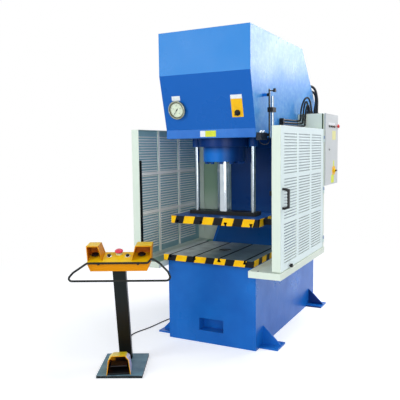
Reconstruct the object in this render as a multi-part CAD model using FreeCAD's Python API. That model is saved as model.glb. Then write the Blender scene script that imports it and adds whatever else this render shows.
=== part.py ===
import FreeCAD, Part
import math
import os

# A C-frame hydraulic press with a four-slot table, a guided platen, swing guards, an electrical cabinet
# and a free-standing two-hand control pedestal. Millimetres. +X is the operator's right, +Y the rear and
# +Z up. The origin is the centre of the four floor anchor holes, on the floor.

V = FreeCAD.Vector
tube_sides = 8

# --- Frame ---------------------------------------------------------------------------------------
overall_height = 2700.0
frame_width = 846.0
base_length = 1740.0
side_plate = 25.0
base_plate = 20.0
table_seat = 30.0
throat_depth = 1040.0
throat_bevel_run = 142.0
throat_bevel_rise = 163.0
throat_top_bevel = 90.0
throat_plate = 12.0
head_underside = 1806.0
head_plate = 40.0
head_overhang = 100.0
cover_sheet = 5.0
cover_setback = 11.0
cover_lip_height = 74.0
cover_break_height = 535.0
top_length = 1277.0
rear_shoulder = 2205.0
top_sheet = 8.0
rear_sheet = 6.0
rear_louvre_rows = 9
rear_louvre_pitch = 42.0
rear_louvre_width = 300.0
rear_louvre_height = 14.0
pocket_width = 235.0
pocket_height = 112.0
pocket_floor = 110.0
pocket_depth = 90.0
pocket_sheet = 4.0

foot_reach = 165.0
foot_length = 200.0
foot_plate = 15.0
foot_inset = 80.0
gusset_height = 170.0
gusset_plate = 15.0
anchor_hole_radius = 11.0
anchor_reach = 115.0
anchor_from_foot_end = 45.0

# --- Table, platen and ram -----------------------------------------------------------------------
table_width = 850.0
table_length = 770.0
table_thickness = 54.0
table_top = 787.0
table_overhang = 75.0
slot_pitch = 238.0
slot_throat = 18.0
slot_throat_depth = 16.0
slot_head_width = 30.0
slot_head_depth = 14.0
centre_hole_radius = 40.0
centre_recess_radius = 57.0
centre_recess_depth = 10.0
seat_hole_radius = 55.0
daylight = 262.0
ram_line = 310.0
platen_width = 842.0
platen_length = 500.0
platen_thickness = 68.0
tie_bar_length = 652.0
tie_bar_depth = 134.0
tie_bar_thickness = 35.0
rod_spacing = 558.0
rod_radius = 22.5
rod_above_head = 330.0
rod_chamfer = 4.0
bush_radius = 41.0
bush_drop = 74.0
bush_sleeve_radius = 30.0
bush_sleeve_top = 24.0
sliding_clearance = 0.06
seat_clearance = 0.3
cylinder_radius = 190.0
cylinder_drop = 206.0
cylinder_flange_radius = 235.0
cylinder_bore = 150.0
cylinder_rise = 640.0
cylinder_end_wall = 45.0
gland_wall = 80.0
ram_radius = 65.0
piston_gap = 0.5
piston_height = 100.0
piston_from_gland = 175.0
gland_bolts_count = 12
gland_bolt_circle = 165.0
gland_bolt_head_radius = 15.0
gland_bolt_head_height = 20.0
stroke_down = 90.0
stroke_up = 350.0

# --- Hydraulic power unit inside the rear of the base -------------------------------------------
tank_width = 560.0
tank_length = 480.0
tank_height = 420.0
tank_floor = 40.0
pipe_radius = 15.0
pipe_height = 2240.0
pipe_bend = 110.0
motor_radius = 105.0
motor_height = 300.0
pump_radius = 62.0
pump_height = 120.0
valve_block_size = 110.0
valve_block_height = 150.0

# --- Gauge and selector on the head cover -------------------------------------------------------
gauge_x = -280.0
gauge_up = 180.0
gauge_radius = 80.0
gauge_depth = 34.0
gauge_rim = 9.0
gauge_dial_depth = 10.0
lens_thickness = 2.0
needle_length = 56.0
needle_thickness = 1.6
needle_hub_radius = 6.0
needle_rest_turn = 140.0
selector_x = 276.0
selector_knob_up = 132.0
selector_knob_radius = 25.0
selector_knob_height = 30.0

# --- Stroke limit gear beside the head ----------------------------------------------------------
limit_rod_x = 496.0
limit_rod_line = 208.0
limit_rod_radius = 11.0
limit_rod_top = 2148.0
limit_arm_height = 46.0
limit_arm_width = 44.0
limit_dog_height = 1330.0
limit_dog_size = 40.0
rail_x = 483.0
rail_line = 172.0
rail_width = 12.0
rail_depth = 18.0
rail_top = 2206.0
rail_foot = 1800.0
switch_block_height = 2034.0
switch_block_length = 72.0
switch_block_rise = 40.0
switch_block_wrap = 7.0
rail_knob_height = 2190.0
rail_knob_stud = 28.0
junction_front = 20.0
junction_length = 140.0
junction_width = 44.0
junction_foot = 1782.0
junction_rise = 62.0

# --- Guards ---------------------------------------------------------------------------------------
door_face = 692.0
door_depth = 73.0
door_front = 148.0
door_length = 1257.0
door_height = 1158.0
door_sheet = 2.0
door_foot_gap = 5.0
door_margin = 85.0
slot_columns = 3
slot_column_gap = 60.0
slot_groups = 3
slot_group_pitch = 360.0
slot_rows = 14
slot_row_pitch = 24.0
slot_height = 8.0
rib_width = 28.0
rib_depth = 10.0
hinge_gap = 8.0
hinge_offset = 6.5
hinge_height = 60.0
hinge_barrel = 6.0
hinge_pin = 3.0
hinge_leaf = 2.5
hinge_leaf_length = 28.0
hinge_levels = (80.0, 564.0, 1062.0)
rear_guard_depth = 28.0
tray_height = 55.0
tray_top = 728.0
tray_front = 166.0
tray_lip = 8.0
tray_sheet = 3.0
handle_foot = 500.0
handle_length = 170.0
handle_standoff = 56.0
handle_bar = 18.0
handle_width = 24.0
handle_inset = 48.0
latch_bar_inset = 104.0
latch_bar_width = 18.0
latch_bar_depth = 14.0
latch_bar_from_foot = 105.0
latch_bar_length = 777.0
knob_inset = 214.0
knob_above_foot = 19.0
knob_radius = 18.0
knob_waist = 7.0
knob_height = 20.0
stud_radius = 5.0
stud_length = 10.0

# --- Electrical cabinet ---------------------------------------------------------------------------
cabinet_front = 1150.0
cabinet_length = 496.0
cabinet_foot = 1337.0
cabinet_height = 708.0
cabinet_depth = 255.0
cabinet_sheet = 2.0
gasket_inset = 8.0
gasket_width = 12.0
gasket_depth = 8.0
cabinet_door_depth = 16.0
cabinet_hinge_radius = 6.0
cabinet_hinge_length = 70.0
cabinet_stop_from_hinge = 34.0
cabinet_stop_height = 594.0
cabinet_stop_radius = 20.0
lamp_from_front = 130.0
lamp_spacing = 70.0
lamp_height = 585.0
lamp_radius = 9.0
lamp_reach = 8.0
switch_from_hinge = 150.0
switch_above_foot = 136.0
lock_from_front = 138.0
lock_above_foot = 354.0
conduit_radius = 9.0
gland_radius = 12.0
gland_reach = 26.0
roof_gland_height = 30.0
conduit_elbow_line = 600.0
conduit_levels = (1970.0, 1944.0, 1918.0)
rear_conduit_radius = 13.0
rear_gland_radius = 18.0
rear_gland_x = 350.0
rear_gland_lines = (1610.0, 1660.0)
conduit_legs = ((460.0, 32.0, 35.0), (482.0, 26.0, -5.0), (502.0, 20.0, -35.0))
conduit_crests = ((494.0, 10.0, 133.0), (494.0, 4.0, 91.0), (511.0, 0.0, 53.0))
conduit_shoulders = ((530.0, 65.0, 113.0), (506.0, 50.0, 85.0), (526.0, 28.0, 55.0))
conduit_landings = ((536.0, 80.0), (506.0, 64.0), (528.0, 35.0))
conduit_bends = ((36, 60, 32, 35), (32, 50, 22, 26), (32, 24, 13, 14))
rear_conduit_rises = ((10.0, 30.0, 18.0), (8.0, 30.0, 18.0))
rear_conduit_bows = ((98.0, 38.0, -8.0), (90.0, 34.0, -6.0))
rear_conduit_drops = ((488.0, -26.0, 145.0), (462.0, 18.0, 108.0))
rear_conduit_landings = ((494.0, -66.0, 55.0), (460.0, -34.0, 35.0))
rear_conduit_bends = ((44, 50, 260, 150), (38, 41, 180, 100))
cable_entry_line = 900.0
cable_entry_height = 60.0
cable_entry_reach = 20.0

# --- Control pedestal, in its own directions: s to the right, t away from the operator -----------
pedestal_x = -403.0
pedestal_line = -752.0
pedestal_turn = 26.3
stand_width = 350.0
stand_length = 455.0
stand_plate = 20.0
post_width = 100.0
post_depth = 50.0
post_wall = 4.0
post_foot = 106.0
post_lean = 0.279
console_foot = 800.0
console_front = 127.0
console_depth = 172.0
console_foot_width = 432.0
console_rim_width = 484.0
console_rim_height = 66.0
console_front_lean = 5.0
console_slope = 0.277
panel_centre = -16.0
hood_roof_outer = 250.0
hood_roof_inner = 142.0
hood_foot_inner = 108.0
hood_height = 113.0
hood_roof_fall = 33.0
hood_wall = 6.0
palm_x = 182.0
palm_line = 112.0
palm_radius = 31.0
palm_height = 13.0
palm_travel = 8.0
stop_line = 142.0
stop_radius = 32.0
stop_collar_radius = 24.0
stop_collar_height = 14.0
stop_height = 16.0
stop_travel = 6.0
start_x = 72.0
start_line = 105.0
start_radius = 14.0
start_height = 12.0
start_travel = 4.0
stem_radius = 8.0
stem_length = 12.0
button_lift = 4.0
ring_radius = 8.0
ring_gap = 5.0
ring_lean = 46.6
ring_depth = 153.0
ring_front_corners = (-374.0, 412.0)
ring_rear_corners = (-236.0, 226.0)
ring_left_knee = (-330.0, 82.0)
ring_right_knees = ((252.0, -42.0), (318.0, 6.0), (382.0, 78.0))
ring_bends = (25, 18, 80, 60, 28, 26, 60, 25)
ring_lug_spacing = 300.0
ring_lug_width = 16.0
foot_hood_x = -6.0
foot_switch_turn = 6.0
foot_hood_front = 213.0
foot_hood_length = 200.0
foot_hood_width = 184.0
foot_hood_shoulder_width = 156.0
foot_hood_roof_width = 100.0
foot_hood_mouth = (116.0, 149.0)
foot_hood_back = (82.0, 105.0)
foot_hood_sheet = 5.0
pedal_base_height = 14.0
pedal_base_gap = 4.0
pedal_width = 128.0
pedal_length = 138.0
pedal_thickness = 8.0
pedal_rest_rise = 12.0
pedal_front_gap = 14.0
pedal_cheek = 10.0
pedal_cheek_length = 34.0
pedal_side_gap = 2.0
pedal_pivot_height = 36.0
pedal_pivot_radius = 5.0
pedal_swing = 7.0
control_cable_radius = 5.5
post_gland_height = 40.0
post_gland_reach = 20.0

# --- Places worked out from the sizes above ------------------------------------------------------
front = -base_length / 2
half_frame = frame_width / 2
inner_half = half_frame - side_plate
base_top = table_top - table_thickness
platen_foot = table_top + daylight
platen_top = platen_foot + platen_thickness
tie_bar_top = platen_top + tie_bar_thickness
ram_y = front + ram_line
cylinder_foot = head_underside - cylinder_drop
cover_foot = head_underside + cover_lip_height
cover_break = head_underside + cover_break_height
door_foot = tray_top + door_foot_gap
door_top = door_foot + door_height
door_y0 = front - door_front
door_y1 = door_y0 + door_length
hinge_y = door_y1 + hinge_gap / 2
hinge_x = door_face + hinge_offset
rear_guard_y = door_y1 + hinge_gap


# --- Shape helpers ---------------------------------------------------------------------------------
def block(x0, x1, y0, y1, z0, z1):
    return Part.makeBox(x1 - x0, y1 - y0, z1 - z0, V(x0, y0, z0))


def cylinder(radius, length, start, axis=(0, 0, 1)):
    return Part.makeCylinder(radius, length, V(*start), V(*axis))


def prism(points, direction):
    corners = [V(*p) for p in points]
    return Part.Face(Part.makePolygon(corners + corners[:1])).extrude(V(*direction))


def side_prism(outline, x0, x1):
    """An outline of (y, z) points drawn out from x0 to x1."""
    return prism([(x0, y, z) for y, z in outline], (x1 - x0, 0, 0))


def front_prism(outline, y0, y1):
    """An outline of (x, z) points drawn out from y0 to y1."""
    return prism([(x, y0, z) for x, z in outline], (0, y1 - y0, 0))


def turned(profile, axis_start=(0, 0, 0)):
    """A closed outline of (radius, z) points turned round the vertical axis at axis_start."""
    ax, ay, az = axis_start
    corners = [V(ax + r, ay, az + z) for r, z in profile]
    return Part.Face(Part.makePolygon(corners + corners[:1])).revolve(V(ax, ay, az), V(0, 0, 1), 360)


def hexagon(flat_radius, height, centre, axis=(0, 0, 1)):
    corner = flat_radius / math.cos(math.pi / 6)
    points = [V(corner * math.cos(k * math.pi / 3), corner * math.sin(k * math.pi / 3), 0) for k in range(6)]
    body = Part.Face(Part.makePolygon(points + points[:1])).extrude(V(0, 0, height))
    body.Placement = FreeCAD.Placement(V(*centre), FreeCAD.Rotation(V(0, 0, 1), V(*axis)))
    return body


def crossing(a, b, c, d):
    """Where the line through a and b meets the line through c and d."""
    ux, uy = b[0] - a[0], b[1] - a[1]
    vx, vy = d[0] - c[0], d[1] - c[1]
    run = ((c[0] - a[0]) * vy - (c[1] - a[1]) * vx) / (ux * vy - uy * vx)
    return a[0] + run * ux, a[1] + run * uy


def folded(line, thickness):
    """The closed section of a sheet folded along a line of points, grown to the line's left."""
    shifted = []
    for p, q in zip(line, line[1:]):
        length = math.dist(p, q)
        du = -(q[1] - p[1]) / length * thickness
        dv = (q[0] - p[0]) / length * thickness
        shifted.append(((p[0] + du, p[1] + dv), (q[0] + du, q[1] + dv)))
    inner = [shifted[0][0]]
    for (a, b), (c, d) in zip(shifted, shifted[1:]):
        inner.append(crossing(a, b, c, d))
    inner.append(shifted[-1][1])
    return list(line) + inner[::-1]


def mirrored(shape):
    return shape.mirror(V(0, 0, 0), V(1, 0, 0))


def fused(shapes):
    shapes = list(shapes)
    whole = shapes[0].fuse(shapes[1:]) if len(shapes) > 1 else shapes[0]
    return whole.removeSplitter()


def placed(shape, placement):
    copy = shape.copy()
    copy.Placement = placement.multiply(copy.Placement)
    return copy


def tube(points, radii, radius):
    """A bar of tube_sides flats along straight runs, with tangent bends of the given radii between them."""
    pieces = []
    start = V(*points[0])
    heading = (V(*points[1]) - start).normalize()
    across = heading.cross(V(0.13, 0.21, 0.97)).normalize() * radius
    for before, corner, after, bend in zip(points, points[1:], points[2:], radii):
        before, corner, after = V(*before), V(*corner), V(*after)
        back = (before - corner).normalize()
        ahead = (after - corner).normalize()
        half_turn = (math.pi - back.getAngle(ahead)) / 2
        first = corner + back * (bend * math.tan(half_turn))
        centre = corner + (back + ahead).normalize() * (bend / math.cos(half_turn))
        section = ring_face(start, heading, across)
        pieces.append(section.extrude(first - start))
        section.translate(first - start)
        axis = heading.cross(ahead)
        pieces.append(section.revolve(centre, axis, math.degrees(2 * half_turn)))
        across = FreeCAD.Rotation(axis, math.degrees(2 * half_turn)).multVec(across)
        start = corner + ahead * (bend * math.tan(half_turn))
        heading = ahead
    pieces.append(ring_face(start, heading, across).extrude(V(*points[-1]) - start))
    return pieces[0].fuse(pieces[1:])


def ring_face(centre, heading, across):
    """A regular polygon square to heading, with its first corner at centre + across."""
    turn = 360.0 / tube_sides
    corners = [centre + FreeCAD.Rotation(heading, k * turn).multVec(across) for k in range(tube_sides)]
    return Part.Face(Part.makePolygon(corners + corners[:1]))


def cord_radii(points):
    """The bend radius at each inner point of a cord's route: 0.45 of its shorter run over tan(half turn)."""
    radii = []
    for before, corner, after in zip(points, points[1:], points[2:]):
        back = V(*before) - V(*corner)
        ahead = V(*after) - V(*corner)
        half_turn = (math.pi - back.getAngle(ahead)) / 2
        radii.append(0.45 * min(back.Length, ahead.Length) / math.tan(half_turn))
    return radii


parts = {}


def keep(name, shape):
    parts[name] = shape


# --- Frame weldment ---------------------------------------------------------------------------------
cover_line = [
    (front + cover_setback, head_underside),
    (front + cover_setback, cover_foot),
    (front - head_overhang, cover_break),
    (front - head_overhang, overall_height),
]
cover_section = folded(cover_line[::-1], cover_sheet)
cover_inside = cover_section[len(cover_line):]

throat_line = [
    (front + throat_depth - throat_bevel_run, base_top),
    (front + throat_depth, base_top + throat_bevel_rise),
    (front + throat_depth, head_underside - throat_top_bevel),
    (front + throat_depth - throat_top_bevel, head_underside),
]


def make_frame():
    rear = front + base_length
    outline = [(front, 0), (front, base_top)] + throat_line + cover_inside
    outline += [(front + top_length, overall_height), (rear, rear_shoulder), (rear, 0)]
    plate = side_prism(outline, inner_half, half_frame)
    keep("right_side_plate", plate)
    keep("left_side_plate", mirrored(plate))

    window = block(-pocket_width / 2, pocket_width / 2, front - 1, front + base_plate + 1,
                   pocket_floor, pocket_floor + pocket_height)
    half = pocket_width / 2 + pocket_sheet
    tray = block(-half, half, front + base_plate, front + base_plate + pocket_depth,
                 pocket_floor - pocket_sheet, pocket_floor + pocket_height + pocket_sheet)
    pocket_back = front + base_plate + pocket_depth - pocket_sheet
    hollow = block(-pocket_width / 2, pocket_width / 2, front, pocket_back,
                   pocket_floor, pocket_floor + pocket_height)
    front_plate = block(-inner_half, inner_half, front, front + base_plate, 0, base_top - table_seat)
    seat = block(-inner_half, inner_half, front, front + throat_depth, base_top - table_seat, base_top)
    seat_hole = cylinder(seat_hole_radius, table_seat + 2, (0, ram_y, base_top - table_seat - 1))
    keep("base_front", fused([front_plate.cut(window), tray.cut(hollow), seat.cut(seat_hole)]))

    section = folded(throat_line[::-1], throat_plate)
    wall = side_prism(section, -inner_half, inner_half)
    below_seat = block(-frame_width, frame_width, front, rear, 0, base_top)
    over_head = block(-frame_width, frame_width, front, rear, head_underside, overall_height)
    keep("throat_wall", wall.cut(below_seat).cut(over_head))

    ceiling = block(-inner_half, inner_half, cover_inside[0][0], front + throat_depth,
                    head_underside, head_underside + head_plate)
    bore = cylinder(cylinder_radius + seat_clearance, head_plate + 2, (0, ram_y, head_underside - 1))
    sleeves = [
        cylinder(bush_sleeve_radius + seat_clearance, head_plate + 2,
                 (side * rod_spacing / 2, ram_y, head_underside - 1))
        for side in (-1, 1)
    ]
    keep("head_bottom_plate", ceiling.cut([bore] + sleeves))

    cover = side_prism(cover_section, -half_frame, half_frame)
    keep("head_front_cover", cover)

    top_line = [
        (front - head_overhang + cover_sheet, overall_height),
        (front + top_length, overall_height),
        (rear, rear_shoulder),
    ]
    keep("head_top_cover", side_prism(folded(top_line[::-1], top_sheet), -inner_half, inner_half))

    top_edge = rear_shoulder - top_sheet
    panel = block(-inner_half, inner_half, rear - rear_sheet, rear, 0, top_edge)
    slots = []
    for centre in (0.28 * rear_shoulder, 0.8 * rear_shoulder):
        for row in range(rear_louvre_rows):
            z = centre + (row - (rear_louvre_rows - 1) / 2) * rear_louvre_pitch
            slots.append(block(-rear_louvre_width / 2, rear_louvre_width / 2, rear - 2 * rear_sheet, rear + 1,
                               z - rear_louvre_height / 2, z + rear_louvre_height / 2))
    keep("rear_panel", panel.cut(slots))

    feet = []
    for end in (-1, 1):
        centre = end * (base_length / 2 - foot_inset - foot_length / 2)
        hole_y = end * (base_length / 2 - foot_inset - anchor_from_foot_end)
        plate = block(half_frame, half_frame + foot_reach, centre - foot_length / 2, centre + foot_length / 2,
                      0, foot_plate)
        hole = cylinder(anchor_hole_radius, foot_plate + 2, (half_frame + anchor_reach, hole_y, -1))
        triangle = [
            (half_frame, foot_plate),
            (half_frame + foot_reach - 6, foot_plate),
            (half_frame + foot_reach - 6, foot_plate + 6),
            (half_frame + 6, gusset_height),
            (half_frame, gusset_height),
        ]
        gusset = front_prism(triangle, centre - gusset_plate / 2, centre + gusset_plate / 2)
        foot = fused([plate.cut(hole), gusset])
        feet += [foot, mirrored(foot)]
    keep("feet", Part.makeCompound(feet))


# --- Table, platen, ram and cylinder -------------------------------------------------------------
slot_lines = [(k - 1.5) * slot_pitch for k in range(4)]


def tee_slot(x, y0, y1, face, into):
    """A tee slot's space, cut from a face at height face in the direction into (-1 down, 1 up)."""
    low, high = sorted((face - into, face + into * (slot_throat_depth + 1)))
    throat = block(x - slot_throat / 2, x + slot_throat / 2, y0, y1, low, high)
    near = face + into * slot_throat_depth
    low, high = sorted((near, near + into * slot_head_depth))
    return throat.fuse(block(x - slot_head_width / 2, x + slot_head_width / 2, y0, y1, low, high))


def make_press():
    table_y0 = front - table_overhang
    table_y1 = table_y0 + table_length
    table = block(-table_width / 2, table_width / 2, table_y0, table_y1, base_top, table_top)
    cuts = [tee_slot(x, table_y0 - 1, table_y1 + 1, table_top, -1) for x in slot_lines]
    cuts.append(cylinder(centre_hole_radius, table_thickness + 2, (0, ram_y, base_top - 1)))
    recess_floor = (0, ram_y, table_top - centre_recess_depth)
    cuts.append(cylinder(centre_recess_radius, centre_recess_depth + 1, recess_floor))
    keep("table", table.cut(cuts))

    platen_y0 = ram_y - platen_length / 2
    platen_y1 = ram_y + platen_length / 2
    platen = block(-platen_width / 2, platen_width / 2, platen_y0, platen_y1, platen_foot, platen_top)
    slots = [tee_slot(x, platen_y0 - 1, platen_y1 + 1, platen_foot, 1) for x in slot_lines]
    keep("platen", platen.cut(slots))

    bar = block(-tie_bar_length / 2, tie_bar_length / 2, ram_y - tie_bar_depth / 2, ram_y + tie_bar_depth / 2,
                platen_top, tie_bar_top)
    keep("tie_bar", bar)

    rods = []
    bushes = []
    rod_top = head_underside + rod_above_head
    for side in (-1, 1):
        x = side * rod_spacing / 2
        rods.append(turned([
            (0, tie_bar_top),
            (rod_radius, tie_bar_top),
            (rod_radius, rod_top - rod_chamfer),
            (rod_radius - rod_chamfer, rod_top),
            (0, rod_top),
        ], (x, ram_y, 0)))
        hole = rod_radius + sliding_clearance
        bushes.append(turned([
            (hole, head_underside - bush_drop),
            (bush_radius, head_underside - bush_drop),
            (bush_radius, head_underside),
            (bush_sleeve_radius, head_underside),
            (bush_sleeve_radius, head_underside + head_plate + bush_sleeve_top),
            (hole, head_underside + head_plate + bush_sleeve_top),
        ], (x, ram_y, 0)))
    keep("guide_rods", Part.makeCompound(rods))
    keep("guide_bushes", Part.makeCompound(bushes))

    gland_hole = ram_radius + sliding_clearance
    flange_foot = head_underside - bush_drop
    roof = cylinder_foot + gland_wall + cylinder_rise
    barrel = turned([
        (gland_hole, cylinder_foot),
        (cylinder_radius, cylinder_foot),
        (cylinder_radius, flange_foot),
        (cylinder_flange_radius, flange_foot),
        (cylinder_flange_radius, head_underside),
        (cylinder_radius, head_underside),
        (cylinder_radius, roof + cylinder_end_wall),
        (0, roof + cylinder_end_wall),
        (0, roof),
        (cylinder_bore, roof),
        (cylinder_bore, cylinder_foot + gland_wall),
        (gland_hole, cylinder_foot + gland_wall),
    ], (0, ram_y, 0))
    keep("cylinder_barrel", barrel)

    piston_foot = cylinder_foot + gland_wall + piston_from_gland
    ram = turned([
        (0, tie_bar_top),
        (ram_radius, tie_bar_top),
        (ram_radius, piston_foot),
        (cylinder_bore - piston_gap, piston_foot),
        (cylinder_bore - piston_gap, piston_foot + piston_height),
        (0, piston_foot + piston_height),
    ], (0, ram_y, 0))
    keep("ram", ram)

    heads = []
    for k in range(gland_bolts_count):
        angle = 2 * math.pi * (k + 0.5) / gland_bolts_count
        centre = (gland_bolt_circle * math.cos(angle), ram_y + gland_bolt_circle * math.sin(angle),
                  cylinder_foot - gland_bolt_head_height)
        heads.append(hexagon(gland_bolt_head_radius, gland_bolt_head_height, centre))
    keep("gland_bolts", Part.makeCompound(heads))


# --- Power unit ---------------------------------------------------------------------------------
def make_power_unit():
    y1 = front + base_length - rear_sheet
    y0 = y1 - tank_length
    top = tank_floor + tank_height
    tank = block(-tank_width / 2, tank_width / 2, y0, y1, tank_floor, top)
    rails = [block(x - 25, x + 25, y0, y1, 0, tank_floor) for x in (-tank_width / 3, tank_width / 3)]
    tank = fused([tank] + rails)

    motor_y = y0 + 0.35 * tank_length
    motor_x = -0.2 * tank_width
    stack = turned([
        (0, top),
        (pump_radius, top),
        (pump_radius, top + pump_height),
        (motor_radius, top + pump_height),
        (motor_radius, top + pump_height + motor_height),
        (0, top + pump_height + motor_height),
    ], (motor_x, motor_y, 0))
    valve_x = 0.25 * tank_width
    half = valve_block_size / 2
    valves = block(valve_x - half, valve_x + half, motor_y - half, motor_y + half,
                   top, top + valve_block_height)
    route = [(valve_x, motor_y, top + valve_block_height), (valve_x, motor_y, pipe_height),
             (0, ram_y + cylinder_bore + 20, pipe_height)]
    pipe = tube(route, (pipe_bend,), pipe_radius).cut(parts["cylinder_barrel"])
    keep("power_unit", fused([tank, stack, valves, pipe]))


# --- Gauge and selector -------------------------------------------------------------------------
cover_run = head_overhang + cover_setback
cover_rise = cover_break_height - cover_lip_height
cover_lean = math.degrees(math.atan2(cover_run, cover_rise))


def on_cover(x, up):
    """A placement on the leaning cover: x across, up along the lean from its foot, +Z straight out."""
    length = math.hypot(cover_run, cover_rise)
    y = front + cover_setback - up * cover_run / length
    z = cover_foot + up * cover_rise / length
    return FreeCAD.Placement(V(x, y, z), FreeCAD.Rotation(V(1, 0, 0), 90 + cover_lean))


def make_head_fittings():
    gauge = on_cover(gauge_x, gauge_up)
    rim = gauge_radius - gauge_rim
    floor = gauge_depth - gauge_dial_depth
    case = turned([
        (0, 0),
        (gauge_radius - 4, 0),
        (gauge_radius - 4, 14),
        (gauge_radius, 18),
        (gauge_radius, gauge_depth - 3),
        (gauge_radius - 3, gauge_depth),
        (rim, gauge_depth),
        (rim, floor),
        (0, floor),
    ])
    keep("gauge_case", placed(case, gauge))
    shaft = cylinder(2.0, 3.0, (0, 0, floor))
    hub = cylinder(needle_hub_radius, needle_thickness, (0, 0, floor + 3.0))
    blade = prism([
        (-3.2, -18, floor + 3.0),
        (3.2, -18, floor + 3.0),
        (0.7, needle_length, floor + 3.0),
        (-0.7, needle_length, floor + 3.0),
    ], (0, 0, needle_thickness))
    start_turn = FreeCAD.Placement(V(0, 0, 0), FreeCAD.Rotation(V(0, 0, 1), needle_rest_turn))
    needle = placed(fused([hub, blade]), start_turn).fuse(cylinder(1.9, 2.7, (0, 0, floor + 0.3)))
    keep("gauge_needle", placed(needle.removeSplitter(), gauge))
    lens = cylinder(rim - 0.1, lens_thickness, (0, 0, gauge_depth - lens_thickness - 0.5))
    keep("gauge_lens", placed(lens, gauge))

    knob = turned([
        (0, 0),
        (selector_knob_radius, 0),
        (selector_knob_radius, 8),
        (selector_knob_radius - 5, 12),
        (0, 12),
    ])
    grip = block(-5, 5, -selector_knob_radius + 3, selector_knob_radius - 3, 12, selector_knob_height)
    seat = on_cover(selector_x, selector_knob_up)
    lift = FreeCAD.Placement(V(0, 0, seat_clearance), FreeCAD.Rotation())
    knob_turn = FreeCAD.Placement(V(0, 0, 0), FreeCAD.Rotation(V(0, 0, 1), -45))
    keep("selector_knob", placed(fused([knob, grip]), seat.multiply(lift).multiply(knob_turn)))


# --- Stroke limit gear ----------------------------------------------------------------------------
def star_knob(x, y, z, stud):
    """A three-lobed knob on a stud, both pointing along +X from (x, y, z)."""
    points = []
    for k in range(24):
        angle = k * math.pi / 12
        radius = knob_radius - knob_waist * (1 - math.cos(3 * angle)) / 2
        points.append((x + stud, y + radius * math.sin(angle), z + radius * math.cos(angle)))
    head = prism(points, (knob_height, 0, 0))
    return fused([head, cylinder(stud_radius, stud, (x, y, z), (1, 0, 0))])


def make_limit_gear():
    y = front + limit_rod_line
    rail_y = front + rail_line
    arm_top = platen_top - 10
    arm = block(platen_width / 2, limit_rod_x + limit_arm_width / 2, y - limit_arm_width / 2,
                y + limit_arm_width / 2, arm_top - limit_arm_height, arm_top)
    keep("limit_arm", arm)
    keep("limit_rod", cylinder(limit_rod_radius, limit_rod_top - arm_top, (limit_rod_x, y, arm_top)))
    half = limit_dog_size / 2
    dog = block(limit_rod_x - half, limit_rod_x + half, y - half, y + half,
                limit_dog_height - half, limit_dog_height + half)
    screw = cylinder(6.0, 14.0, (limit_rod_x + half, y, limit_dog_height), (1, 0, 0))
    grip = cylinder(limit_rod_radius, 2 * limit_dog_size, (limit_rod_x, y, limit_dog_height - limit_dog_size))
    keep("limit_dog", fused([dog, screw]).cut(grip))

    rail = block(rail_x - rail_width / 2, rail_x + rail_width / 2, rail_y - rail_depth / 2,
                 rail_y + rail_depth / 2, rail_foot, rail_top)
    slot = block(rail_x - rail_width, rail_x + rail_width, rail_y - 3, rail_y + 3,
                 rail_foot + 60, rail_top - 30)
    arms = [
        block(half_frame, rail_x, rail_y - rail_depth / 2, rail_y + rail_depth / 2, z, z + 24)
        for z in (rail_foot + 14, rail_top - 60)
    ]
    keep("limit_rail", fused([rail.cut(slot)] + arms))

    low = switch_block_height - switch_block_rise / 2
    block_front = rail_y - rail_depth / 2 - switch_block_wrap
    body = block(rail_x - rail_width / 2 - switch_block_wrap, limit_rod_x + 2 * limit_rod_radius,
                 block_front, block_front + switch_block_wrap + switch_block_length,
                 low, low + switch_block_rise)
    hole = cylinder(limit_rod_radius + sliding_clearance, switch_block_rise + 2, (limit_rod_x, y, low - 1))
    keep("limit_switch", body.cut([hole, rail]))

    knob_x = rail_x + rail_width / 2 + seat_clearance
    keep("rail_knob", star_knob(knob_x, rail_y, rail_knob_height, rail_knob_stud))

    y0 = front + junction_front
    box = block(half_frame, half_frame + junction_width, y0, y0 + junction_length,
                junction_foot, junction_foot + junction_rise)
    caps = [
        cylinder(13, 16, (half_frame + junction_width / 2, y0 + d, junction_foot + junction_rise))
        for d in (junction_length * 0.3, junction_length * 0.7)
    ]
    keep("head_junction_box", fused([box] + caps))


# --- Guard doors, trays and rear guards -----------------------------------------------------------
def slot_windows():
    """The door's rows of slots as (y0, y1, z) spans: three columns of three groups."""
    column = (door_length - 2 * door_margin - (slot_columns - 1) * slot_column_gap) / slot_columns
    middle = (door_foot + door_top) / 2
    spans = []
    for c in range(slot_columns):
        y0 = door_y0 + door_margin + c * (column + slot_column_gap)
        for g in range(slot_groups):
            centre = middle + (g - (slot_groups - 1) / 2) * slot_group_pitch
            for r in range(slot_rows):
                z = centre + (r - (slot_rows - 1) / 2) * slot_row_pitch
                spans.append((y0, y0 + column, z))
    return spans


def barrel_half(z0, z1, leaf_from, leaf_to):
    """Half a hinge: a barrel from z0 to z1 and the leg that joins it to its leaf."""
    barrel = cylinder(hinge_barrel, z1 - z0, (hinge_x, hinge_y, z0))
    leg = block(door_face, door_face + hinge_leaf, min(leaf_from, leaf_to), max(leaf_from, leaf_to), z0, z1)
    return barrel.fuse(leg)


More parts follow.
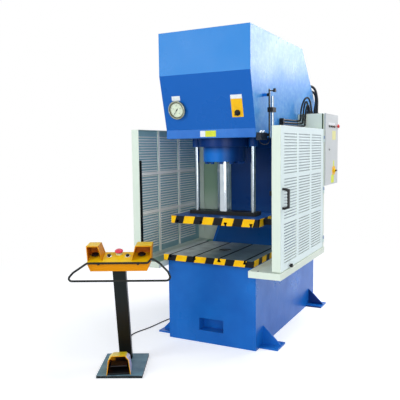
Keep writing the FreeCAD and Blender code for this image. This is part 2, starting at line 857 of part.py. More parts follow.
def make_guards():
    skin = block(door_face - door_depth, door_face, door_y0, door_y1, door_foot, door_top)
    inside = block(door_face - door_depth - 1, door_face - door_sheet,
                   door_y0 + door_sheet, door_y1 - door_sheet,
                   door_foot + door_sheet, door_top - door_sheet)
    cuts = [
        block(door_face - 2 * door_sheet, door_face + 1, y0, y1, z - slot_height / 2, z + slot_height / 2)
        for y0, y1, z in slot_windows()
    ]
    pan = skin.cut(inside).cut(cuts)

    column = (door_length - 2 * door_margin - (slot_columns - 1) * slot_column_gap) / slot_columns
    middle = (door_foot + door_top) / 2
    rib_x0 = door_face - door_sheet - rib_depth
    rib_x1 = door_face - door_sheet
    ribs = []
    for c in range(1, slot_columns):
        y = door_y0 + door_margin + c * (column + slot_column_gap) - slot_column_gap / 2
        ribs.append(block(rib_x0, rib_x1, y - rib_width / 2, y + rib_width / 2,
                          door_foot + door_sheet, door_top - door_sheet))
    for g in range(1, slot_groups):
        z = middle + (g - slot_groups / 2) * slot_group_pitch
        ribs.append(block(rib_x0, rib_x1, door_y0 + door_sheet, door_y1 - door_sheet,
                          z - rib_width / 2, z + rib_width / 2))

    leaf_near = hinge_y - hinge_barrel - 1.5
    moving = []
    fixed = []
    for level in hinge_levels:
        z0 = door_foot + level - hinge_height / 2
        z1 = z0 + hinge_height / 2
        z2 = z0 + hinge_height
        half = barrel_half(z0, z1, hinge_y, leaf_near)
        leaf = block(door_face, door_face + hinge_leaf, leaf_near - hinge_leaf_length, leaf_near, z0, z2)
        bore = cylinder(hinge_pin + sliding_clearance, hinge_height, (hinge_x, hinge_y, z0 - 1))
        moving.append(half.fuse(leaf).cut(bore))
        leaf_far = hinge_y + hinge_barrel + 1.5
        half = barrel_half(z1 + 0.4, z2, hinge_y, leaf_far)
        leaf = block(door_face, door_face + hinge_leaf, leaf_far, leaf_far + hinge_leaf_length - 6, z0, z2)
        pin = cylinder(hinge_pin, hinge_height, (hinge_x, hinge_y, z0))
        fixed.append(fused([half, leaf, pin]))
    door = fused([pan] + ribs + moving)
    hinges = fixed

    bar_y = door_y0 + latch_bar_inset
    bar_z = door_foot + latch_bar_from_foot
    latch = block(rib_x0 - latch_bar_depth, rib_x0, bar_y - latch_bar_width / 2, bar_y + latch_bar_width / 2,
                  bar_z, bar_z + latch_bar_length)

    foot = door_foot + handle_foot
    low, high = 0.0, handle_length
    reach = handle_standoff
    outline = [
        (0, low), (0.35 * reach, low), (reach, low + 10), (reach, high - 10), (0.35 * reach, high), (0, high),
        (0, high - handle_bar), (0.3 * reach, high - handle_bar), (reach - handle_bar, high - handle_bar - 8),
        (reach - handle_bar, low + handle_bar + 8), (0.3 * reach, low + handle_bar), (0, low + handle_bar),
    ]
    handle_y = door_y0 + handle_inset
    bow = front_prism([(door_face + x, foot + z) for x, z in outline],
                      handle_y - handle_width / 2, handle_y + handle_width / 2)
    scallops = [
        cylinder(12, handle_width + 2, (door_face + reach - handle_bar - 8, handle_y - handle_width / 2 - 1,
                                        foot + handle_length / 2 + k * 24), (0, 1, 0))
        for k in (-2, -1, 0, 1, 2)
    ]
    handle = bow.cut(scallops)

    knob_y = door_y0 + knob_inset
    knob_z = door_foot + knob_above_foot
    star = star_knob(door_face + seat_clearance, knob_y, knob_z, stud_length)

    y1 = rear_guard_y + rear_guard_depth
    panel = block(half_frame, door_face, rear_guard_y, y1, tray_top, door_top)
    hollow = block(half_frame + door_sheet, door_face - door_sheet, rear_guard_y + door_sheet, y1 + 1,
                   tray_top + door_sheet, door_top - door_sheet)
    guard = panel.cut(hollow)

    outer = door_face + tray_lip
    shelf = block(half_frame, outer, front - tray_front, y1, tray_top - tray_height, tray_top)
    under = block(half_frame + tray_sheet, outer - tray_sheet, front - tray_front + tray_sheet,
                  y1 - tray_sheet, tray_top - tray_height - 1, tray_top - tray_sheet)
    tray = shelf.cut(under)

    keep("right_door", door)
    keep("left_door", mirrored(door))
    keep("door_hinges", Part.makeCompound(hinges + [mirrored(h) for h in hinges]))
    keep("right_latch_bar", latch)
    keep("left_latch_bar", mirrored(latch))
    keep("right_handle", handle)
    keep("right_star_knob", star)
    keep("left_star_knob", mirrored(star))
    keep("rear_guards", Part.makeCompound([guard, mirrored(guard)]))
    keep("side_trays", Part.makeCompound([tray, mirrored(tray)]))


# --- Electrical cabinet and its cables -----------------------------------------------------------
cabinet_y0 = front + cabinet_front
cabinet_y1 = cabinet_y0 + cabinet_length
cabinet_top = cabinet_foot + cabinet_height
cabinet_face = half_frame + cabinet_depth
cabinet_door_x = cabinet_face + gasket_depth + seat_clearance


def make_cabinet():
    shell = block(half_frame, cabinet_face, cabinet_y0, cabinet_y1, cabinet_foot, cabinet_top)
    room = block(half_frame + cabinet_sheet, cabinet_face - cabinet_sheet, cabinet_y0 + cabinet_sheet,
                 cabinet_y1 - cabinet_sheet, cabinet_foot + cabinet_sheet, cabinet_top - cabinet_sheet)
    lip = block(cabinet_face, cabinet_face + gasket_depth,
                cabinet_y0 + gasket_inset, cabinet_y1 - gasket_inset,
                cabinet_foot + gasket_inset, cabinet_top - gasket_inset)
    mouth = gasket_inset + gasket_width
    hole = block(cabinet_face - 2 * cabinet_sheet, cabinet_face + gasket_depth + 1, cabinet_y0 + mouth,
                 cabinet_y1 - mouth, cabinet_foot + mouth, cabinet_top - mouth)
    axis_x = cabinet_door_x + 4
    axis_y = cabinet_y1 + cabinet_hinge_radius
    lugs = []
    door_lugs = []
    for z in (cabinet_foot + 110, cabinet_top - 110 - cabinet_hinge_length):
        middle = z + cabinet_hinge_length / 2
        strap = block(cabinet_face - 40, axis_x, cabinet_y1, cabinet_y1 + 3,
                      middle + 0.3, z + cabinet_hinge_length)
        half_barrel = cabinet_hinge_length / 2 - 0.3
        barrel = cylinder(cabinet_hinge_radius, half_barrel, (axis_x, axis_y, middle + 0.3))
        pin = cylinder(hinge_pin, cabinet_hinge_length, (axis_x, axis_y, z))
        lugs += [strap, barrel, pin]
        leg = block(axis_x - 3, cabinet_door_x + cabinet_door_depth - 1, cabinet_y1 - 3, axis_y, z, middle)
        barrel = cylinder(cabinet_hinge_radius, cabinet_hinge_length / 2, (axis_x, axis_y, z))
        bore = cylinder(hinge_pin + sliding_clearance, cabinet_hinge_length + 2, (axis_x, axis_y, z - 1))
        door_lugs.append(leg.fuse(barrel).cut(bore))
    keep("cabinet_box", fused([shell.cut(room).fuse(lip).cut(hole)] + lugs))

    x0 = cabinet_door_x
    leaf = block(x0, x0 + cabinet_door_depth, cabinet_y0, cabinet_y1, cabinet_foot, cabinet_top)
    back = block(x0 - 1, x0 + cabinet_door_depth - cabinet_sheet,
                 cabinet_y0 + mouth + 6, cabinet_y1 - mouth - 6,
                 cabinet_foot + mouth + 6, cabinet_top - mouth - 6)
    face = x0 + cabinet_door_depth
    lamp_places = [cabinet_y0 + lamp_from_front + lamp_spacing * k for k in range(4)]
    lamps = [
        cylinder(lamp_radius, lamp_reach, (face, y, cabinet_foot + lamp_height), (1, 0, 0))
        for y in lamp_places
    ]
    stop_seat = facing_right(face, cabinet_y1 - cabinet_stop_from_hinge, cabinet_foot + cabinet_stop_height)
    stop_hole = placed(button_hole(stop_travel), stop_seat)
    keep("cabinet_door", fused([leaf.cut(back)] + door_lugs + lamps).cut(stop_hole))
    keep("cabinet_stop_button", placed(mushroom(cabinet_stop_radius, stop_height, stop_travel), stop_seat))
    switch_y = cabinet_y1 - switch_from_hinge
    seat = facing_right(face + seat_clearance, switch_y, cabinet_foot + switch_above_foot)
    dial = turned([(0, 0), (22, 0), (22, 9), (17, 16), (0, 16)])
    bar = block(-7, 7, -19, 19, 16, 30)
    keep("main_switch", placed(fused([dial, bar]), seat))
    seat = facing_right(face + seat_clearance, cabinet_y0 + lock_from_front, cabinet_foot + lock_above_foot)
    barrel = turned([(0, 0), (11, 0), (11, 6), (0, 6)])
    wing = block(-2.5, 2.5, -10, 10, 6, 16)
    keep("cabinet_lock", placed(fused([barrel, wing]), seat))


def facing_right(x, y, z):
    """A placement that turns a fitting's +Z to +X, with its origin at (x, y, z)."""
    return FreeCAD.Placement(V(x, y, z), FreeCAD.Rotation(V(0, 1, 0), 90))


def button_hole(travel):
    """The hole that a button's stem slides in, under the surface it stands on."""
    depth = stem_length + travel + 1
    return cylinder(stem_radius + sliding_clearance, depth + 1, (0, 0, -depth))


def mushroom(radius, head_height, travel):
    """A push button at rest over its origin: a stem in its hole below a low domed head."""
    neck_height = travel + button_lift
    top = neck_height + head_height
    return turned([
        (0, -stem_length),
        (stem_radius, -stem_length),
        (stem_radius, neck_height),
        (radius, neck_height),
        (radius, neck_height + 0.4 * head_height),
        (0.78 * radius, neck_height + 0.8 * head_height),
        (0.4 * radius, top),
        (0, top),
    ])


slope_run = base_length - top_length
slope_fall = overall_height - rear_shoulder
slope_side = math.hypot(slope_run, slope_fall)
slope_out = (0.0, slope_fall / slope_side, slope_run / slope_side)


def on_rear_slope(line, out):
    """A point a distance out from the head's rear slope, line behind the front of the base."""
    height = overall_height - (line - top_length) * slope_fall / slope_run
    return (rear_gland_x, front + line + out * slope_out[1], height + out * slope_out[2])


def beyond(point, dx, dy, dz):
    """The point moved along by dx, dy and dz."""
    return (point[0] + dx, point[1] + dy, point[2] + dz)


def make_cables():
    """The conduits from the frame into the cabinet roof, with the glands at all their ends."""
    wall = half_frame
    start_y = front + conduit_elbow_line
    foot = cabinet_top + roof_gland_height
    side_routes = []
    for number, level in enumerate(conduit_levels):
        leg_x, leg_gap, leg_top = conduit_legs[number]
        crest_x, crest_y, crest_z = conduit_crests[number]
        shoulder_x, shoulder_y, shoulder_z = conduit_shoulders[number]
        landing_x, landing_y = conduit_landings[number]
        side_routes.append([
            (wall + gland_reach, start_y + gland_reach, level),
            (leg_x - 2, cabinet_y0 - leg_gap, level),
            (leg_x, cabinet_y0 - leg_gap, foot + leg_top),
            (crest_x, cabinet_y0 + crest_y, foot + crest_z),
            (shoulder_x, cabinet_y0 + shoulder_y, foot + shoulder_z),
            (landing_x, cabinet_y0 + landing_y, foot),
        ])
    rear_routes = []
    for number, line in enumerate(rear_gland_lines):
        start = on_rear_slope(line, gland_reach)
        drop_x, drop_y, drop_z = rear_conduit_drops[number]
        landing_x, landing_y, landing_z = rear_conduit_landings[number]
        rear_routes.append([
            start,
            beyond(start, *rear_conduit_rises[number]),
            beyond(start, *rear_conduit_bows[number]),
            (drop_x, cabinet_y1 + drop_y, foot + drop_z),
            (landing_x, cabinet_y1 + landing_y, foot + landing_z),
            (landing_x, cabinet_y1 + landing_y, foot),
        ])
    conduits = []
    glands = []
    for points, radii in zip(side_routes, conduit_bends):
        conduits.append(tube(points, radii, conduit_radius))
        level = points[0][2]
        knuckle_x = wall + gland_reach
        out = hexagon(gland_radius, gland_reach, (wall, start_y, level), (1, 0, 0))
        knuckle = block(knuckle_x - gland_radius, knuckle_x + gland_radius, start_y - gland_radius,
                        start_y + gland_radius, level - gland_radius, level + gland_radius)
        along = hexagon(gland_radius, gland_reach, (knuckle_x, start_y, level), (0, 1, 0))
        glands.append(fused([out, knuckle, along]))
        x, y = points[-1][:2]
        glands.append(hexagon(gland_radius + 2, roof_gland_height, (x, y, cabinet_top)))
    for points, radii, line in zip(rear_routes, rear_conduit_bends, rear_gland_lines):
        conduits.append(tube(points, radii, rear_conduit_radius))
        glands.append(hexagon(rear_gland_radius, gland_reach, on_rear_slope(line, 0), slope_out))
        x, y = points[-1][:2]
        glands.append(hexagon(rear_gland_radius, roof_gland_height, (x, y, cabinet_top)))
    entry = (-half_frame - cable_entry_reach, front + cable_entry_line, cable_entry_height)
    glands.append(hexagon(gland_radius, cable_entry_reach, entry, (1, 0, 0)))
    keep("conduits", Part.makeCompound([conduit.cut(glands) for conduit in conduits]))
    keep("cable_glands", Part.makeCompound(glands))


# --- Control pedestal -----------------------------------------------------------------------------
upright = V(0, 0, 1)
pedestal_middle = V(pedestal_x, front + pedestal_line, 0)
pedestal = FreeCAD.Placement(pedestal_middle, FreeCAD.Rotation(upright, pedestal_turn))
foot_hood_mouth_middle = V(foot_hood_x, -foot_hood_front, 0)
foot_switch = pedestal.multiply(
    FreeCAD.Placement(V(0, 0, 0), FreeCAD.Rotation(upright, foot_switch_turn), foot_hood_mouth_middle))
rim_height = console_foot + console_rim_height
console_back = -console_front + console_depth


def panel_height(t):
    """The height of the console's sloping top at a distance t behind the stand's middle."""
    return rim_height + (t + console_front + console_front_lean) * console_slope


def on_panel(s, line, lift=0.0):
    """A placement over the console's sloping top, line behind its front rim, +Z square to the top."""
    t = -console_front - console_front_lean + line
    tilt = math.degrees(math.atan(console_slope))
    local = FreeCAD.Placement(V(panel_centre + s, t, panel_height(t)), FreeCAD.Rotation(V(1, 0, 0), tilt))
    return pedestal.multiply(local).multiply(FreeCAD.Placement(V(0, 0, lift), FreeCAD.Rotation()))


def post_back(z):
    """How far behind the stand's middle the post's rear face is at a height z."""
    return post_foot + post_depth * math.hypot(1, post_lean) - post_lean * (z - stand_plate)


def loft(outlines):
    wires = [Part.makePolygon([V(*p) for p in outline + outline[:1]]) for outline in outlines]
    return Part.makeLoft(wires, True, True)


def make_pedestal():
    plate = block(-stand_width / 2, stand_width / 2, -stand_length / 2, stand_length / 2, 0, stand_plate)
    keep("stand_plate", placed(plate, pedestal))

    post_top = console_foot
    lean = post_lean * (post_top - stand_plate)
    run = post_depth * math.hypot(1, post_lean)
    section = [
        (post_foot, stand_plate),
        (post_foot + run, stand_plate),
        (post_foot + run - lean, post_top),
        (post_foot - lean, post_top),
    ]
    post = side_prism(section, -post_width / 2, post_width / 2)
    wall = post_wall * math.hypot(1, post_lean)
    core = [(y + (wall if k in (0, 3) else -wall), z) for k, (y, z) in enumerate(section)]
    hollow = side_prism(core, -post_width / 2 + post_wall, post_width / 2 - post_wall)
    gland_t = post_back(post_gland_height)
    gland = cylinder(gland_radius, post_gland_reach + 6, (0, gland_t - 6, post_gland_height), (0, 1, 0))
    keep("stand_post", placed(fused([post, gland]).cut(hollow), pedestal))

    side = [
        (-console_front, console_foot),
        (-console_front - console_front_lean, rim_height),
        (console_back, panel_height(console_back)),
        (console_back - 8, console_foot),
    ]
    rim = console_rim_width / 2
    body = side_prism(side, -rim, rim)
    half_foot = console_foot_width / 2
    flare = (rim - half_foot) / console_rim_height
    for sign in (-1, 1):
        wedge = [
            (sign * half_foot, console_foot),
            (sign * rim, rim_height),
            (sign * (rim + 60), rim_height),
            (sign * (rim + 60), console_foot - 1),
            (sign * half_foot, console_foot - 1),
        ]
        body = body.cut(front_prism(wedge, -400, 400))
    hoods = []
    hollows = []
    t0 = -console_front + 27
    t1 = console_back
    for sign in (-1, 1):
        def section_at(t, grow, top_drop, floor_drop=0.0):
            base = panel_height(t) - floor_drop
            top = panel_height(t) + hood_height - top_drop
            inner_foot = sign * (hood_foot_inner + grow) + panel_centre
            inner_top = sign * (hood_roof_inner + grow) + panel_centre
            outer_foot = sign * (rim - grow)
            outer_top = sign * (hood_roof_outer - grow)
            return [(inner_foot, t, base), (outer_foot, t, base), (outer_top, t, top), (inner_top, t, top)]
        hoods.append(loft([section_at(t0, 0, 0, 12), section_at(t1, 0, hood_roof_fall, 12)]))
        hollows.append(loft([
            section_at(t0 - 6, hood_wall, hood_wall),
            section_at(t1 - hood_wall, hood_wall, hood_wall + hood_roof_fall),
        ]))
    console = placed(fused([body] + hoods).cut(hollows), pedestal)
    collar = cylinder(stop_collar_radius, stop_collar_height + 4, (0, 0, -4))
    console = console.fuse(placed(collar, on_panel(0, stop_line))).removeSplitter()

    palm = mushroom(palm_radius, palm_height, palm_travel)
    stop = mushroom(stop_radius, stop_height, stop_travel)
    stop_seat = on_panel(0, stop_line, stop_collar_height)
    buttons = [
        ("left_palm_button", on_panel(-palm_x, palm_line), palm, palm_travel),
        ("right_palm_button", on_panel(palm_x, palm_line), palm, palm_travel),
        ("console_stop_button", stop_seat, stop, stop_travel),
        ("left_start_button", on_panel(-start_x, start_line), push_button(), start_travel),
        ("right_start_button", on_panel(start_x, start_line), push_button(), start_travel),
    ]
    for name, seat, shape, travel in buttons:
        console = console.cut(placed(button_hole(travel), seat))
        keep(name, placed(shape, seat))
    keep("console", console)


def push_button():
    """A small round button at rest over its origin, on the same stem as the large ones."""
    top = start_travel + start_height
    return turned([
        (0, -stem_length),
        (stem_radius, -stem_length),
        (stem_radius, start_travel + 1),
        (start_radius, start_travel + 1),
        (start_radius, top),
        (0, top),
    ])


def ring_point(s, down):
    """A point of the guard ring: s to the right, down along its leaning plane from the rear bar."""
    lean = math.radians(ring_lean)
    t = -console_front - console_front_lean - ring_gap - ring_radius
    return (s, t - down * math.cos(lean), rim_height - down * math.sin(lean))


def make_guard_ring():
    rear_left, rear_right = ring_rear_corners
    front_left, front_right = ring_front_corners
    corners = [(0, 0), (rear_right, 0), *ring_right_knees, (front_right, ring_depth),
               (front_left, ring_depth), ring_left_knee, (rear_left, 0), (0, 0)]
    ring = tube([ring_point(s, down) for s, down in corners], ring_bends, ring_radius)
    lugs = []
    t0 = ring_point(0, 0)[1]
    for s in (-ring_lug_spacing / 2, ring_lug_spacing / 2):
        z0, z1 = rim_height - 14, rim_height - 4
        side = [(t0, z0), (t0, z1)]
        lean = console_front_lean / console_rim_height
        side += [(-console_front - lean * (z - console_foot), z) for z in (z1, z0)]
        lugs.append(side_prism(side, s - ring_lug_width / 2, s + ring_lug_width / 2))
    keep("guard_ring", placed(fused([ring] + lugs), pedestal))


def make_foot_switch():
    floor = stand_plate

    def outline(t, shoulder, roof, wall):
        half = foot_hood_width / 2 - wall
        shoulder_half = foot_hood_shoulder_width / 2 - wall
        roof_half = foot_hood_roof_width / 2 - 0.5 * wall
        low = floor - (1 if wall else 0)
        points = [
            (half, low),
            (shoulder_half, floor + shoulder - 0.5 * wall),
            (roof_half, floor + roof - wall),
        ]
        left_side = [(foot_hood_x - s, t, z) for s, z in points]
        return left_side + [(foot_hood_x + s, t, z) for s, z in points[::-1]]

    t0 = -foot_hood_front
    t1 = t0 + foot_hood_length
    outer = loft([outline(t0, *foot_hood_mouth, 0), outline(t1, *foot_hood_back, 0)])
    inner = loft([
        outline(t0 - 1, *foot_hood_mouth, foot_hood_sheet),
        outline(t1 - foot_hood_sheet, *foot_hood_back, foot_hood_sheet),
    ])
    keep("foot_hood", placed(outer.cut(inner), foot_switch))

    half = foot_hood_width / 2 - foot_hood_sheet - pedal_base_gap
    top = floor + pedal_base_height
    base_t1 = t1 - foot_hood_sheet - pedal_base_gap
    base = block(foot_hood_x - half, foot_hood_x + half, t0 + pedal_base_gap, base_t1, floor, top)
    pivot_t = base_t1 - pedal_cheek_length / 2
    pivot_z = floor + pedal_pivot_height
    cheeks = []
    for sign in (-1, 1):
        x = foot_hood_x + sign * (pedal_width / 2 + pedal_side_gap + pedal_cheek / 2)
        cheeks.append(block(x - pedal_cheek / 2, x + pedal_cheek / 2, pivot_t - pedal_cheek_length / 2,
                            pivot_t + pedal_cheek_length / 2, floor, pivot_z + pedal_cheek))
    reach = pedal_width + 2 * (pedal_side_gap + pedal_cheek)
    pin = cylinder(pedal_pivot_radius, reach, (foot_hood_x - reach / 2, pivot_t, pivot_z), (1, 0, 0))
    keep("pedal_base", placed(fused([base, pin] + cheeks), foot_switch))

    boss_radius = pedal_pivot_radius + 6
    tip = (pivot_t - pedal_length, pivot_z + pedal_rest_rise)
    side = [
        (pivot_t, pivot_z + boss_radius - pedal_thickness),
        (tip[0], tip[1] + boss_radius - pedal_thickness),
        (tip[0], tip[1] + boss_radius),
        (pivot_t, pivot_z + boss_radius),
    ]
    tread = side_prism(side, foot_hood_x - pedal_width / 2, foot_hood_x + pedal_width / 2)
    boss = cylinder(boss_radius, pedal_width, (foot_hood_x - pedal_width / 2, pivot_t, pivot_z), (1, 0, 0))
    bore = cylinder(pedal_pivot_radius + sliding_clearance, pedal_width + 2,
                    (foot_hood_x - pedal_width / 2 - 1, pivot_t, pivot_z), (1, 0, 0))
    keep("foot_pedal", placed(fused([tread, boss]).cut(bore), foot_switch))


def cable_route():
    """The control cable's route: out of the post's foot, over the floor and into the frame's left side."""
    out = pedestal.multVec(V(0, post_back(post_gland_height) + post_gland_reach, post_gland_height))
    edge = pedestal.multVec(V(0, stand_length / 2 + 6, stand_plate + 15))
    lie = control_cable_radius
    floor_run = [
        (-545, -466), (-612, -372), (-690, -280), (-742, -186), (-768, -96), (-757, -8), (-728, 92),
        (-715, 212), (-706, 334), (-688, 454), (-662, 566), (-634, 668), (-600, 758),
    ]
    points = [tuple(out), tuple(edge)]
    points += [(x, front + d, lie) for x, d in floor_run]
    points += [
        (-556, front + 836, lie + 0.3 * cable_entry_height),
        (-503, front + 892, 0.85 * cable_entry_height),
        (-half_frame - cable_entry_reach, front + cable_entry_line, cable_entry_height),
    ]
    return points


def make_control_cable():
    route = cable_route()
    radii = cord_radii(route)
    cable = tube(route, radii, control_cable_radius)
    section = tube_sides / 2 * control_cable_radius ** 2 * math.sin(2 * math.pi / tube_sides)
    route_length = sum(map(math.dist, route, route[1:]))
    print("cable volume over section", round(cable.Volume / section), "of a route of", round(route_length))
    keep("control_cable", cable.cut([parts["stand_post"], parts["cable_glands"]]))
    print("cable bend radii", [round(r) for r in radii])


make_frame()
make_press()
make_power_unit()
make_head_fittings()
make_limit_gear()
make_guards()
make_cabinet()
make_cables()
make_pedestal()
make_guard_ring()
make_foot_switch()
make_control_cable()

os.makedirs("parts", exist_ok=True)
for name, shape in parts.items():
    shape.exportStep(os.path.join("parts", name + ".step"))
print(len(parts), "parts")
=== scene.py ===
# %% [markdown]
# # Finishing a hydraulic press
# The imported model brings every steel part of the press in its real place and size. This lesson adds
# what the workshop adds last: paint, chrome, warning bands, dial, labels, conduits and the trailing
# cable. A shape that is already right keeps its mesh and only gets a finish. A shape that the solids
# show too plainly gets a finer piece that rides on the same body.

import math
from itertools import product

import bmesh
import bpy
from mathutils import Matrix, Vector


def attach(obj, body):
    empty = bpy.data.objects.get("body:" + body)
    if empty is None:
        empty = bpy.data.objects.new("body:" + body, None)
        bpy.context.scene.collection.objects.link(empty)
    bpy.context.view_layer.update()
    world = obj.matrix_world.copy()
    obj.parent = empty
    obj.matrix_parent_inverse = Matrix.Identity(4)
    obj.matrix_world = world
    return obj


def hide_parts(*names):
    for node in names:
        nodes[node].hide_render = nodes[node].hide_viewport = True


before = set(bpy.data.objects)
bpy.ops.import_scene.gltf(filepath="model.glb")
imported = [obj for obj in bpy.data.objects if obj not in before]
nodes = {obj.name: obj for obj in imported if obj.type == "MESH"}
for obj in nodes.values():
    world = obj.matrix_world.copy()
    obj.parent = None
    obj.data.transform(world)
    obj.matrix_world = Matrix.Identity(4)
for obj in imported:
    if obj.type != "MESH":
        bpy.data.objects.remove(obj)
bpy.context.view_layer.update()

# %% [markdown]
# ## The viewpoint
# The press is seen from its front right, from a standing person's eye level and about four and a half
# metres away. The lens and the three angles come from the straight edges of the frame, the table
# and the platen, so the camera is a plain one that is turned by those angles.

# %% Camera
def new_object(name, data):
    """A linked object that shows a mesh, a curve, a lamp or a camera."""
    made = bpy.data.objects.new(name, data)
    bpy.context.collection.objects.link(made)
    return made


yaw, pitch, roll = math.radians(27.5275), math.radians(-5.4572), math.radians(0.7316)
ahead = Vector((-math.sin(yaw) * math.cos(pitch), math.cos(yaw) * math.cos(pitch), math.sin(pitch)))
level = Vector((math.cos(yaw), math.sin(yaw), 0))
overhead = level.cross(ahead)
image_right = level * math.cos(roll) - overhead * math.sin(roll)
image_up = level * math.sin(roll) + overhead * math.cos(roll)
lens = bpy.data.cameras.new("viewpoint")
lens.lens, lens.sensor_width = 49.316, 36.0
camera = new_object("viewpoint", lens)
camera.matrix_world = Matrix((image_right, image_up, -ahead)).transposed().to_4x4()
camera.location = (2.09795, -5.07453, 1.72603)
bpy.context.scene.camera = camera
bpy.context.scene.view_settings.view_transform = "Standard"
print("camera looks along", [round(c, 3) for c in ahead])

# %% [markdown]
# ## The control cable
# One rubber cable leaves a gland at the foot of the pedestal's post, lies in a loose bow on the floor
# and goes into a gland low on the frame's left side. A bevelled curve is the plainest way to make it:
# a smooth spline through a few points, as a real cable of that length would lie.

# %% Cable
cable_radius = 0.0055
cable_route = [
    (-0.4794, -1.4675, 0.040), (-0.5065, -1.4127, 0.035), (-0.545, -1.336, 0.0055), (-0.612, -1.242, 0.0055),
    (-0.690, -1.150, 0.0055), (-0.742, -1.056, 0.0055), (-0.768, -0.966, 0.0055), (-0.757, -0.878, 0.0055),
    (-0.728, -0.778, 0.0055), (-0.715, -0.658, 0.0055), (-0.706, -0.536, 0.0055), (-0.688, -0.416, 0.0055),
    (-0.662, -0.304, 0.0055), (-0.634, -0.202, 0.0055), (-0.600, -0.112, 0.0055), (-0.556, -0.034, 0.0235),
    (-0.503, 0.022, 0.051), (-0.443, 0.030, 0.060),
]


def soft_curve(name, route, radius, rounds=5, closed=False):
    """A bevelled tube along a route of points: a smooth spline, or a closed loop that keeps its own arcs."""
    data = bpy.data.curves.new(name, "CURVE")
    data.dimensions = "3D"
    spline = data.splines.new("POLY" if closed else "NURBS")
    spline.points.add(len(route) - 1)
    for point, place in zip(spline.points, route):
        point.co = (*place, 1)
        point.radius = radius
    if closed:
        spline.use_cyclic_u = True
    else:
        spline.order_u = 3
        spline.use_endpoint_u = True
        spline.resolution_u = 8
        data.use_fill_caps = True
    data.bevel_depth = 1.0
    data.bevel_resolution = rounds
    return new_object(name, data)


cable = soft_curve("pedestal_cable", cable_route, cable_radius)
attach(cable, "frame")
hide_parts("control_cable")
print("cable points", len(cable_route))

# %% [markdown]
# ## Floor and light
# The machine stands on a plain pale studio floor that fades into white, so only its own soft shadow
# grounds it. A weak lamp on the right lifts the side, two wide ones light the front, one hangs over the
# machine, and one stands high behind on the right for the long sheen on the head's side.

# %% Studio
def new_material(name):
    """An empty node material, its tree and its output node."""
    material = bpy.data.materials.new(name)
    material.use_nodes = True
    tree = material.node_tree
    tree.nodes.clear()
    return material, tree, tree.nodes.new("ShaderNodeOutputMaterial")


def add(tree, kind, wired=None, **settings):
    """A shader node with its settings, its sockets set to numbers or wired to other sockets."""
    made = tree.nodes.new(kind)
    for key, value in settings.items():
        setattr(made, key, value)
    for key, value in (wired or {}).items():
        if isinstance(value, bpy.types.NodeSocket):
            tree.links.new(value, made.inputs[key])
        else:
            made.inputs[key].default_value = value
    return made


def math_node(tree, operation, *values):
    return add(tree, "ShaderNodeMath", dict(enumerate(values)), operation=operation).outputs[0]


def coords(tree, socket="Object"):
    """The place on the object in metres, or its normal."""
    return add(tree, "ShaderNodeTexCoord").outputs[socket]


def both(tree, first, second):
    """The product of two values, which for two masks is 1 where both are 1."""
    return math_node(tree, "MULTIPLY", first, second)


def either(tree, first, second):
    """1 where one of two masks is 1."""
    return math_node(tree, "MAXIMUM", first, second)


def minus(tree, first, second):
    return math_node(tree, "SUBTRACT", first, second)


def over(tree, value, limit):
    return math_node(tree, "GREATER_THAN", value, limit)


def under(tree, value, limit):
    return math_node(tree, "LESS_THAN", value, limit)


def seen_directly(tree):
    """1 for what the camera, a mirror or a pane of glass sees, and 0 for what lights a surface."""
    path = add(tree, "ShaderNodeLightPath").outputs
    seen = either(tree, path["Is Camera Ray"], path["Is Glossy Ray"])
    return either(tree, seen, path["Is Transmission Ray"])


sky_strength, floor_lift, floor_reach, fade_from, fade_to = 0.34, 0.47, 40, 2.2, 4.5
studio = bpy.data.worlds.new("studio")
bpy.context.scene.world = studio
studio.use_nodes = True
sky = studio.node_tree
sky.nodes.clear()
dim = add(sky, "ShaderNodeBackground", {"Color": (0.86, 0.91, 1.0, 1), "Strength": sky_strength})
white = add(sky, "ShaderNodeBackground", {"Color": (1, 1, 1, 1), "Strength": 1.0})
blend = add(sky, "ShaderNodeMixShader", {0: seen_directly(sky), 1: dim.outputs[0], 2: white.outputs[0]})
sky.links.new(blend.outputs[0], add(sky, "ShaderNodeOutputWorld").inputs[0])

floor_mesh = bpy.data.meshes.new("studio_floor")
floor_corners = [(floor_reach * x, floor_reach * y, 0) for x, y in ((-1, -1), (1, -1), (1, 1), (-1, 1))]
floor_mesh.from_pydata(floor_corners, [], [(0, 1, 2, 3)])
floor = new_object("studio_floor", floor_mesh)
pale, tree, out = new_material("pale_floor")
far = add(tree, "ShaderNodeVectorMath", {0: coords(tree)}, operation="LENGTH").outputs["Value"]
fade = add(tree, "ShaderNodeMapRange", {"Value": far, "From Min": fade_from, "From Max": fade_to}).outputs[0]
body = add(tree, "ShaderNodeBsdfDiffuse", {"Color": (0.80, 0.80, 0.81, 1)})
lift_strength = both(tree, seen_directly(tree), floor_lift)
lift = add(tree, "ShaderNodeEmission", {"Color": (1, 1, 1, 1), "Strength": lift_strength})
near = add(tree, "ShaderNodeAddShader", {0: body.outputs[0], 1: lift.outputs[0]})
clear = add(tree, "ShaderNodeEmission", {"Color": (1, 1, 1, 1), "Strength": 1.0})
hide = both(tree, fade, seen_directly(tree))
mix = add(tree, "ShaderNodeMixShader", {0: hide, 1: near.outputs[0], 2: clear.outputs[0]})
tree.links.new(mix.outputs[0], out.inputs[0])
floor_mesh.materials.append(pale)


def lamp(name, place, target, size, power, tint=(1, 1, 1)):
    """A square soft lamp at a place, turned to a target."""
    data = bpy.data.lights.new(name, "AREA")
    data.shape, data.size, data.energy, data.color = "SQUARE", size, power, tint
    made = new_object(name, data)
    made.location = place
    made.rotation_mode = "QUATERNION"
    made.rotation_quaternion = (Vector(target) - Vector(place)).to_track_quat("-Z", "Y")
    made.visible_camera = False


